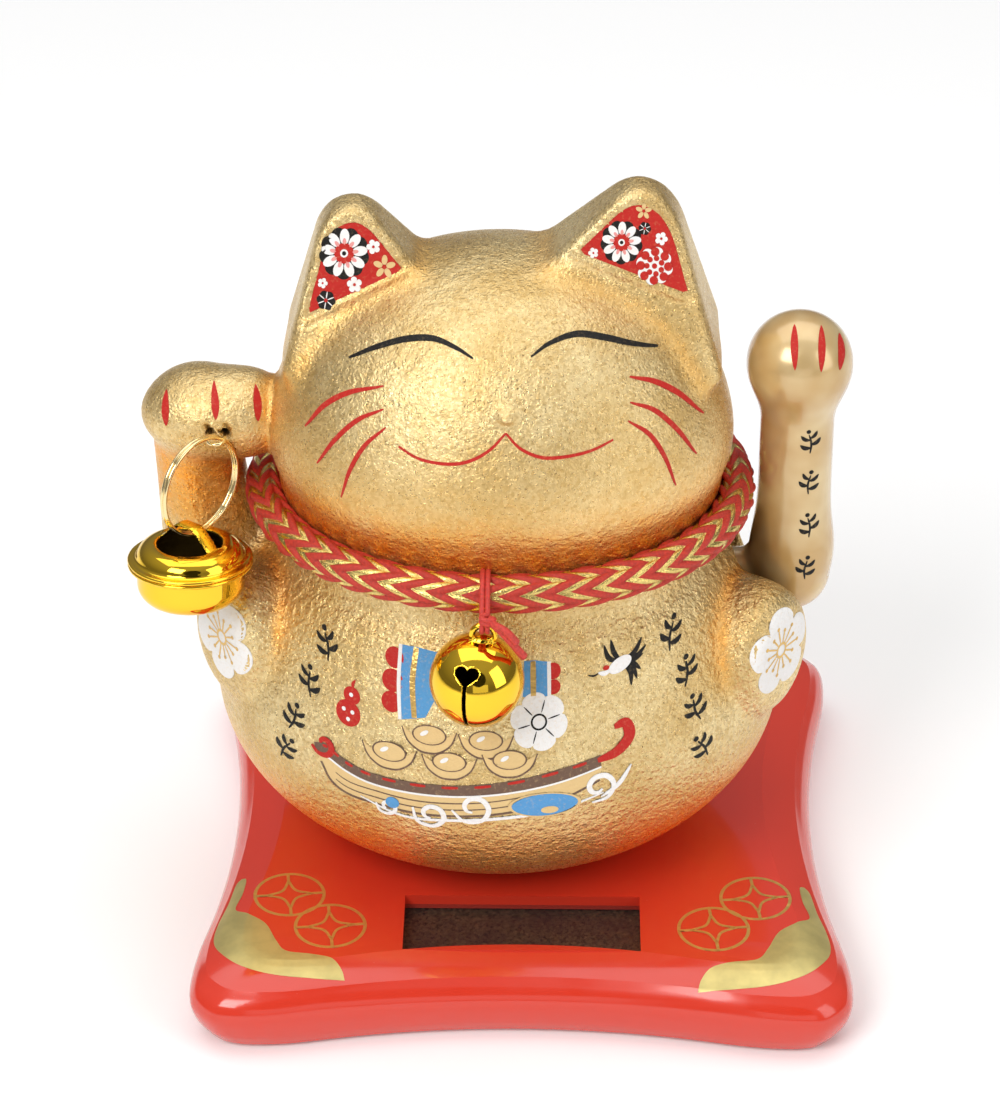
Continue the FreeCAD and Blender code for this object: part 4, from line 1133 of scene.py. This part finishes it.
def ear_floor(name):
    """Outline of the dish in an ear, a little inside its edges."""
    corners, foot = EARS[name], EAR_FEET[name]
    centre = np.mean(corners, axis=0)
    ray = rays(full_turn(90))
    reach = np.linspace(0, 22, 440)
    flat = centre + reach[:, None, None] * ray
    points = np.stack([flat[..., 0], 0 * flat[..., 0], flat[..., 1]], -1)
    sides = ear_sides(points, corners) + EAR_RIM + 0.45
    inside = np.maximum(sides, edge_side(points, *foot, centre) + 1.1) < 0
    return centre + ray * reach[np.argmin(inside, axis=0)][:, None]


def petals(centre, radius, count, tilt, wide=0.5, inner=0.3):
    """Separate leaf-shaped petals round a centre."""
    points, faces = disc((radius * (1 + inner) / 2, 0), radius * (1 - inner) / 2, 14, 2, wide)
    return [(turned(points, tilt + 360 * k / count) + np.asarray(centre, float), faces) for k in range(count)]


def ear_print(name, daisy, small, cream, dark):
    """A flowered print on an ear's floor: one large daisy among small blossoms."""
    lay(f"{name}_ear_ground", "ink_red", [fan(ear_floor(name), 16)], lift=0.09)
    centre, radius = daisy
    shadow = [flower(centre, radius * 1.07, 9, 8, 0.2)] + [flower(p, r, 6, 20, 0.25) for p, r in dark]
    lay(f"{name}_ear_shadows", "ink_black", shadow, lift=0.12)
    white = petals(centre, radius, 9, 8, 0.62, 0.35)
    white += [flower(p, r, 5, 30 * n, 0.4) for n, (p, r) in enumerate(small)]
    for p, r in dark:
        white += petals(p, 0.9 * r, 6, 20, 0.16, 0.2)
    lay(f"{name}_ear_petals", "ink_white", white, lift=0.16)
    pale = [petal for p, r in cream for petal in petals(p, r, 5, 15, 0.6, 0.15)]
    lay(f"{name}_ear_cream", "ink_cream", pale, lift=0.14)
    tips = petals(centre, radius * 0.62, 9, 8, 0.5, 0.5)
    lay(f"{name}_ear_blush", "ink_pink", tips, lift=0.19)
    hearts = [flower(centre, 0.42 * radius, 9, 8, 0.2, 2)]
    hearts += [disc(p, 0.2 * r, 10, 1) for p, r in small + cream + dark]
    lay(f"{name}_ear_hearts", "ink_red", hearts, lift=0.22)
    lay(f"{name}_ear_eye", "ink_white", [disc(centre, 0.17 * radius, 14, 1)], lift=0.25)
    lay(f"{name}_ear_pupil", "ink_black", [disc(centre, 0.09 * radius, 10, 1)], lift=0.28)


def ears():
    """The prints in both ears, with a peony in the right one."""
    ear_print("left", ((-28.5, 120.9), 3.7),
              [((-23.9, 121.9), 1.1), ((-31.9, 116.4), 0.8), ((-26.9, 116.2), 1.2)], [((-22.2, 118.9), 1.8)],
              [((-31.4, 113.8), 1.5)])
    ear_print("right", ((15.0, 123.3), 3.1),
              [((10.6, 121.7), 0.8), ((21.2, 123.9), 1.0)], [((18.4, 128.0), 1.3)],
              [((18.6, 125.4), 1.0)])
    peony = np.array([20.2, 119.8])
    lay("right_ear_peony", "ink_white", [flower(peony, 2.9, 8, 10, 0.25)], lift=0.16)
    folds = [disc(peony, 0.42, 12, 1)]
    for count, ring, size in ((8, 2.15, 0.68), (7, 1.2, 0.44)):
        middles = peony + ring * rays(np.radians(np.arange(count) * 360 / count + 20 * ring))
        folds += [disc(middle, size, 12, 1) for middle in middles]
    lay("right_ear_peony_folds", "ink_red", folds, lift=0.20)


def wave(centre, radius, start, turns=1.3, wide=0.9):
    """A curling wave."""
    t = np.linspace(0, 1, 9)
    angle = np.radians(start) + 2 * math.pi * turns * t
    reach = radius * (1 - 0.75 * t)
    return stroke(np.asarray(centre) + rays(angle) * reach[:, None], wide, 0.35, 4)


def ingot(centre, size):
    """A boat-shaped ingot with a round mound: its filled shapes and its outlines."""
    under = [(-1.0, 0.42), (-0.78, -0.05), (-0.38, -0.34), (0.0, -0.40)]
    under += [(-x, y) for x, y in under[-2::-1]]
    over = [(-1.0, 0.42), (-0.5, 0.16), (0.0, 0.08), (0.5, 0.16), (1.0, 0.42)]
    centre = np.asarray(centre, float)
    bowl = band(smooth_line(under, 2) * size + centre, smooth_line(over, 3) * size + centre, 4, 1)
    mound = centre + (0, 0.24 * size)
    lines = [stroke(np.array(under) * size + centre, 0.3, 0.6, 5),
             annulus(mound, 0.60 * size - 0.13, 0.60 * size + 0.13, 32, 0.56)]
    return [bowl, disc(mound, 0.60 * size, 28, 3, 0.56)], lines


def belly_boat():
    """A rowing boat on curling waves. Its load of ingots is laid by boat_load."""
    top = [(-33.6, 46.4), (-31.3, 46.9), (-28.4, 45.4), (-24.3, 44.4), (-17.9, 44.2), (-10.2, 44.5),
           (-2.3, 45.5), (5.7, 47.0), (12.4, 48.4)]
    low = [(-33.2, 45.2), (-31.3, 44.9), (-28.4, 43.6), (-24.4, 42.6), (-17.9, 42.3), (-10.2, 42.6),
           (-2.3, 43.5), (5.7, 44.9), (12.6, 46.6)]
    keel = [(-32.4, 43.6), (-30.8, 40.6), (-28.0, 39.0), (-23.4, 38.6), (-17.0, 38.2), (-9.4, 38.6),
            (-2.2, 39.6), (5.6, 41.4), (12.4, 44.2)]
    lay("boat_hull", "ink_cream", [band(keel, low, 5)])
    lay("boat_rail", "ink_brown", [band(low, top, 3)], lift=0.08)
    rail = smooth_line(top, 6) - [0, 0.42]
    dashes = [stroke(rail[i:i + 3], 0.5, 0.7, 2) for i in range(4, len(rail) - 4, 4)]
    lay("boat_rail_dashes", "ink_red", dashes, lift=0.11)
    lay("boat_edge", "ink_white", [stroke(np.array(low) - [0, 0.15], 0.35, 0.8)], lift=0.10)
    planks = [stroke(smooth_line(keel, 6)[8:40] + [0, rise], 0.24, 0.5, 2) for rise in (1.3, 2.6)]
    planks.append(stroke(keel, 0.45, 0.8))
    lay("boat_planks", "ink_brown", planks, lift=0.08)
    prow = [(12.0, 47.6), (15.0, 48.4), (17.0, 50.4), (16.4, 52.6), (14.6, 52.4)]
    ends = [wave((-32.0, 46.6), 2.1, 200, 0.9, 1.0), stroke(prow, 1.8, 0.4)]
    lay("boat_ends", "ink_red", ends, lift=0.11)
    swell = [(-26, 39.4), (-19, 37.2), (-11, 37.6), (-2, 38.6), (6, 39.8), (13, 41.8)]
    white = [wave((-7.8, 40.4), 3.5, 190, 1.2), wave((-14.6, 38.4), 3.1, 160, 1.3),
             wave((12.2, 43.0), 3.0, 250, 1.2), wave((-21.6, 38.6), 1.9, 170, 1.2, 0.7),
             stroke(swell, 0.6, 0.3), stroke([(12.6, 41.0), (15.4, 42.8), (17.4, 45.8)], 0.8, 0.2)]
    lay("boat_waves", "ink_white", white, lift=0.12)
    pool = (3.6, 40.9)
    blue = [disc(pool, 5.4, 40, 5, 0.40, 4), disc((-20.8, 39.6), 1.1, 18, 2)]
    lay("boat_pools", "ink_blue", blue, lift=0.15)
    rims = [annulus(pool, 5.3, 5.8, 56, 0.40), disc((4.4, 39.9), 1.4, 20, 2, 0.5)]
    lay("boat_spray", "ink_cream", rims, lift=0.18)


def boat_load():
    """Five ingots in two rows, each a little in front of the last."""
    rows = [((-14.8, 51.2), (-5.8, 51.0)), ((-21.2, 47.6), (-11.6, 47.3), (-2.0, 48.0))]
    for number, row in enumerate(rows):
        lift = 0.05 + 0.08 * number
        parts = [ingot(centre, 4.4) for centre in row]
        fills = [shape for shapes, _ in parts for shape in shapes]
        lines = [line for _, outlines in parts for line in outlines]
        shine = [disc((x - 0.8, y + 1.3), 0.75, 12, 2, 0.45, 30) for x, y in row]
        lay(f"ingots_{number + 1}", "ink_cream", fills, lift=lift)
        lay(f"ingot_lines_{number + 1}", "ink_brown", lines, lift=lift + 0.03)
        lay(f"ingot_shine_{number + 1}", "ink_white", shine, lift=lift + 0.05)


def cloth():
    """A striped blue cloth behind the bell, with a scalloped red edge on each side."""
    left = [(-19.4, 54.0), (-15.4, 54.9), (-12.7, 60.1), (-13.4, 64.6), (-16.6, 64.9), (-19.3, 64.9)]
    right = [(0.0, 58.7), (4.2, 58.6), (4.1, 61.4), (3.9, 63.6), (2.0, 63.9), (0.2, 63.9)]
    lay("cloth_ground", "ink_blue", [fan(straight(left, 4), 6), fan(straight(right, 4), 4)])
    stripes = [(-17.2, 54.6), (-17.5, 60.0), (-16.9, 64.8)], [(1.7, 58.8), (1.6, 63.8)]
    lay("cloth_stripes", "ink_gold", [stroke(line, 0.9, 0.9) for line in stripes], lift=0.09)
    edges = [(-19.5, 54.0), (-19.7, 59.5), (-19.4, 64.9)], [(4.2, 58.6), (4.1, 63.6)]
    lay("cloth_edges", "ink_white", [stroke(line, 0.6, 0.9) for line in edges], lift=0.09)
    scallops = [((-20.4, 62.9), 1.5), ((-20.7, 59.6), 1.7), ((-20.9, 56.4), 1.6), ((4.8, 62.2), 1.2),
                ((4.9, 59.9), 1.1)]
    lay("cloth_scallops", "ink_red", [disc(middle, radius, 18, 3) for middle, radius in scallops], lift=0.04)


def round_blossom():
    centre = np.array([2.6, 54.8])
    lay("round_blossom", "ink_white", [flower(centre, 4.6, 6, 15, 0.18, 5)], lift=0.08)
    lines = [annulus(centre, 1.0, 1.3, 28)]
    lines += [stroke([centre + 1.5 * ray, centre + 3.4 * ray], 0.22, 0.4, 3)
              for ray in rays(np.radians(np.arange(15, 375, 60)))]
    lay("round_blossom_lines", "ink_black", lines, lift=0.11)


def gourd():
    halves = [disc((-27.9, 52.9), 2.0, 24, 3), disc((-27.3, 55.7), 1.35, 20, 3)]
    lay("gourd", "ink_red", halves + [leaf((-27.1, 56.6), (-26.7, 58.2), 0.5)])
    spots = (-28.6, 53.4), (-27.2, 53.2), (-27.9, 52.0), (-27.4, 55.8)
    lay("gourd_dots", "ink_white", [disc(spot, 0.32, 10, 1) for spot in spots], lift=0.09)


def bird():
    """A small flying bird: black wings and tail, white body, red cap."""
    body = [disc((15.4, 61.5), 1.9, 20, 3, 0.55, 20), leaf((14.0, 61.1), (11.9, 61.0), 0.7)]
    lay("bird_body", "ink_white", body, lift=0.09)
    feathers = [((12.8, 64.7), 0.2), ((13.9, 65.2), 0.1), ((18.9, 64.4), -0.15), ((19.6, 63.2), -0.15),
                ((19.2, 62.2), -0.1), ((17.3, 58.0), 0.15), ((18.2, 58.8), 0.15), ((18.8, 60.0), 0.1)]
    wings = [leaf((15.6, 61.9), tip, 0.75, bow) for tip, bow in feathers]
    wings.append(leaf((12.2, 61.0), (10.3, 60.9), 0.3))
    lay("bird_wings", "ink_black", wings, lift=0.06)
    lay("bird_cap", "ink_red", [disc((13.2, 61.5), 0.5, 12, 2, 0.7)], lift=0.12)


# ---- printed base

BASE_TOP = 13.0
BASE_CEILING = 10.4
BASE_WIDTH = 110.0
BASE_CAVITY = 100.0
BASE_CORNER = 10.7
BASE_SAG = 5.5
COIN_RADIUS = 6.0
WINDOW_Y = -35.15
WINDOW_SIZE = (38.9, 14.7)
SIDE_STEPS = 64
BEND_STEPS = 20
PLAN_STEPS = 4 * (SIDE_STEPS + BEND_STEPS)


def coin(centre):
    """A round coin in outline: its ring, the curved square inside and four bars out to the ring."""
    centre, radius = np.asarray(centre, float), COIN_RADIUS
    square, bars = [], []
    for k in range(4):
        corner, after = (turned([[0.62 * radius, 0]], 90 * n + 6)[0] for n in (k, k + 1))
        middle = (corner + after) * 0.30
        square.append(stroke([centre + p for p in (corner, middle, after)], 0.46, 0.95, 8))
        end = turned([[radius - 0.3, 0]], 90 * k + 6)[0]
        bars.append(stroke([centre + corner * 0.93, centre + end], 0.5, 0.95, 4))
    return [annulus(centre, radius - 0.55, radius, 64)], square, bars


def plan(width):
    """The base's outline: round corners joined by sides that curve inwards, eased into each other."""
    corner = BASE_CORNER * width / BASE_WIDTH
    reach, middle = width / 2 - corner, width / 2 - BASE_SAG
    inset = middle - reach
    curve = (reach ** 2 + inset ** 2 - corner ** 2) / (2 * (corner - inset))
    join_x = reach * curve / (corner + curve)
    x = np.linspace(-join_x, join_x, SIDE_STEPS, endpoint=False)
    side = np.stack([x, np.sqrt(curve ** 2 - x ** 2) - middle - curve], -1)
    lean = math.atan2(middle + curve - reach, reach)
    angle = np.linspace(-lean, lean - math.pi / 2, BEND_STEPS, endpoint=False)
    bend = np.stack([reach + corner * np.cos(angle), corner * np.sin(angle) - reach], -1)
    quarter = np.concatenate([side, bend])
    line = np.concatenate([turned(quarter, 90 * k) for k in range(4)])
    for _ in range(3):
        line = np.mean([np.roll(line, k, 0) for k in range(-2, 3)], axis=0)
    return line


def window_ring(outline):
    """Points of the window's opening, one on each ray from its centre to an outline's point."""
    centre, half = np.array([0, WINDOW_Y]), np.array(WINDOW_SIZE) / 2
    ray = outline - centre
    ring = ray * (half / np.maximum(np.abs(ray), 1e-6)).min(-1)[:, None]
    for corner in ((-1, -1), (1, -1), (1, 1), (-1, 1)):
        nearest = np.argmin(length(ring - half * corner))
        ring[nearest] = half * corner
    return ring + centre


def cover_surface():
    """The moulded cover: rolled wall, sloping border, flat top, window opening and inside."""
    profile = [(106.2, 0.8), (108.8, 3.4), (110.0, 6.5), (108.4, 9.0), (104.6, 10.9), (93.0, BASE_TOP)]
    bulge = smooth_line(profile[:5], 5)
    border = np.linspace(profile[4], profile[5], 6)[1:] + np.array([0.5, 0.12])[None] * np.sin(
        np.linspace(0, math.pi, 6))[1:, None]
    rings = [(plan(width), z) for width, z in np.concatenate([bulge, border])]
    window = window_ring(plan(profile[5][0]))
    rings += [(window, BASE_TOP), (window, BASE_CEILING)]
    rings += [(plan(BASE_CAVITY), BASE_CEILING), (plan(BASE_CAVITY), 0.8)]
    rows = [np.column_stack([ring, np.full(PLAN_STEPS, z)]) for ring, z in rings]
    return np.concatenate(rows), grid_faces(len(rows), PLAN_STEPS, True, True)


def boss(x, y, radius, hole, low, high):
    """A hollow round post."""
    ring = rays(full_turn(24))
    corners = (radius, low), (radius, high), (hole, high), (hole, low)
    rows = [np.column_stack([ring * r + [x, y], np.full(24, z)]) for r, z in corners]
    return np.concatenate(rows), grid_faces(4, 24, True, True)


def cover():
    """The base's cover with its four screw posts. Returns its surface for the foils."""
    surface = cover_surface()
    corners = [(x * 40.5, y * 40.5) for x in (-1, 1) for y in (-1, 1)]
    bosses = [boss(*corner, 3.4, 1.25, 4.5, BASE_CEILING) for corner in corners]
    points, faces = merged([(part, shape.tolist()) for part, shape in [surface] + bosses])
    piece = add_mesh("base_cover_moulded", points, faces, ["gloss_red"], "base", crease=13)
    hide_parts("base_cover")
    return BVHTree.FromPolygons(points.tolist(), faces)


def onto_cover(tree):
    """A way to lay flat points on the base's cover from above, with its creases smoothed over."""
    down = Vector((0, 0, -1))
    around = [(0, 0), (1.4, 0), (-1.4, 0), (0, 1.4), (0, -1.4)]

    def place(flat):
        points, normals = [], []
        for x, y in flat:
            hits = [tree.ray_cast(Vector((x + dx, y + dy, 30.0)), down) for dx, dy in around]
            if hits[0][0] is None:
                raise RuntimeError(f"a foil misses the cover at {x, y}")
            points.append(hits[0][0])
            normals.append(unit(sum((hit[1] for hit in hits if hit[0] is not None), Vector((0, 0, 0)))))
        return np.array(points), np.array(normals)

    return place


def base_foils(tree):
    """A leaf of gold foil round each front corner, with a thin arm along both edges."""
    inner = [(-47.1, -21.8), (-46.3, -22.5), (-46.6, -26.7), (-47.5, -31.0), (-45.4, -33.1), (-42.2, -35.9),
             (-40.2, -40.4), (-38.4, -43.2), (-34.3, -44.0), (-30.9, -45.0), (-29.2, -47.0), (-28.6, -48.8)]
    outer = [(-47.1, -21.8), (-48.0, -23.2), (-48.9, -28.7), (-50.1, -33.6), (-50.6, -38.0), (-49.8, -41.4),
             (-47.3, -45.0), (-43.8, -47.4), (-39.4, -48.6), (-34.0, -48.9), (-28.6, -48.8)]
    count, rows = 110, 24
    low, high = even(outer, count), even(inner, count)
    strip = np.concatenate([low + (high - low) * (k / rows) for k in range(rows + 1)])
    faces = grid_faces(rows + 1, count)
    mirrored = strip * [-1, 1] - [0, 1.2]
    shapes = [(strip, faces), (mirrored, faces[:, ::-1])]
    lay("base_foils", "foil", shapes, onto_cover(tree), depth=0.1)


def even(line, count):
    """Points at even spacing along a curve."""
    line = smooth_line(line, 8)
    run = np.concatenate([[0], np.cumsum(length(np.diff(line, axis=0)))])
    at = np.linspace(0, run[-1], count)
    return np.stack([np.interp(at, run, line[:, axis]) for axis in (0, 1)], -1)


def base_prints():
    """Two overlapping coins by each front corner."""
    for number, spot in enumerate(((38.7, -27.9), (31.5, -36.4))):
        coins = [coin((side * spot[0], spot[1])) for side in (-1, 1)]
        for layer, kind in enumerate(("rings", "squares", "bars")):
            shapes = [shape for parts in coins for shape in parts[layer]]
            lift = 0.03 + 0.02 * number + 0.03 * layer
            name = f"coin_{kind}_{number + 1}"
            lay(name, "ink_gold", shapes, level(BASE_TOP), lift, depth=0.1)


# ---- carried-over pieces, stage and light

VIEW_TURN = 0.8
VIEW_RISE = 31.6
VIEW_TARGET = (-4.1, 0, 63.4)
VIEW_DISTANCE = 662
VIEW_LENS = 130.909

def repaint_frame():
    """Gives every CAD node that still shows its finish."""
    for part in frame["record"]["subparts"]:
        node = frame["nodes"][part["node"]]
        if node.hide_render:
            continue
        paint = SLOT_PAINTS[part["material_slot"]]
        if not node.material_slots:
            node.data.materials.append(paint)
        for slot in node.material_slots:
            slot.material = paint


def set_up(name, data):
    """An object of the stage, not of the cat."""
    thing = bpy.data.objects.new(name, data)
    bpy.context.scene.collection.objects.link(thing)
    return thing


def flat_sheet(name, outline, material):
    mesh = bpy.data.meshes.new(name)
    mesh.from_pydata(outline, [], [list(range(len(outline)))])
    mesh.materials.append(material)
    return set_up(name, mesh)


def floor():
    half = 3.0
    corners = [(-half, -half, 0), (half, -half, 0), (half, half, 0), (-half, half, 0)]
    flat_sheet("floor", corners, backdrop_white())


def softbox(name, place, target, size, watts):
    light = bpy.data.lights.new(name, "AREA")
    light.shape = "RECTANGLE"
    light.size, light.size_y = size
    light.energy = watts
    lamp = set_up(name, light)
    lamp.location = place
    lamp.rotation_euler = (Vector(target) - Vector(place)).to_track_quat("-Z", "Y").to_euler()


def dark_card(place, radius):
    """A round black card behind the camera, seen only in reflections."""
    facing = Vector(place).to_track_quat("Z", "Y").to_matrix()
    rim = [Vector(place) + facing @ Vector((*step, 0)) for step in radius * rays(full_turn(40))]
    card = flat_sheet("dark_card", rim, moulded("card_black", (0.01, 0.01, 0.01), 0.9))
    card.visible_camera = card.visible_diffuse = card.visible_shadow = False


def studio_world():
    """Soft grey surroundings, brighter overhead than at the horizon."""
    world = bpy.data.worlds.new("studio")
    world.use_nodes = True
    tree = world.node_tree
    sky = tree.nodes["Background"]
    height = tree.nodes.new("ShaderNodeSeparateXYZ")
    tree.links.new(tree.nodes.new("ShaderNodeTexCoord").outputs["Generated"], height.inputs[0])
    shade = tree.nodes.new("ShaderNodeValToRGB")
    tree.links.new(height.outputs["Z"], shade.inputs["Fac"])
    tree.links.new(shade.outputs["Color"], sky.inputs["Color"])
    low, high = shade.color_ramp.elements
    low.position, low.color = 0.15, (0.34, 0.33, 0.32, 1)
    high.position, high.color = 0.85, (0.85, 0.85, 0.85, 1)
    sky.inputs["Strength"].default_value = 0.5
    return world


def lighting():
    scene = bpy.context.scene
    scene.view_settings.view_transform = "Standard"
    scene.world = studio_world()
    centre = (0, 0, 0.06)
    softbox("key", (-0.45, -0.65, 0.75), centre, (0.5, 0.5), 6.0)
    softbox("fill", (0.75, -0.45, 0.45), centre, (0.5, 0.7), 2.4)
    softbox("top", (0.0, 0.20, 0.95), centre, (1.3, 0.8), 5.0)
    softbox("front", (0.15, -0.95, 0.22), centre, (0.6, 0.3), 0.35)
    dark_card((0.06, -0.72, 0.50), 0.26)


def camera():
    """A long lens that looks down a little at the middle of the cat."""
    turn_by, rise = math.radians(VIEW_TURN), math.radians(VIEW_RISE)
    back = Vector((math.sin(turn_by) * math.cos(rise), -math.cos(turn_by) * math.cos(rise), math.sin(rise)))
    right = Vector((math.cos(turn_by), math.sin(turn_by), 0))
    up = back.cross(right)
    lens = bpy.data.cameras.new("view")
    lens.lens = VIEW_LENS
    lens.clip_start, lens.clip_end = 0.01, 20
    eye = set_up("view", lens)
    place = (Vector(VIEW_TARGET) + back * VIEW_DISTANCE) * MM
    eye.matrix_world = Matrix([[right[i], up[i], back[i], place[i]] for i in range(3)] + [[0, 0, 0, 1]])
    bpy.context.scene.camera = eye


cat()
arm()
collar()
thread()
bells()
wire_link()
face()
nose()
claws()
sprigs()
blossoms()
ears()
belly_boat()
boat_load()
cloth()
round_blossom()
gourd()
bird()
base_foils(cover())
base_prints()
repaint_frame()
floor()
lighting()
camera()
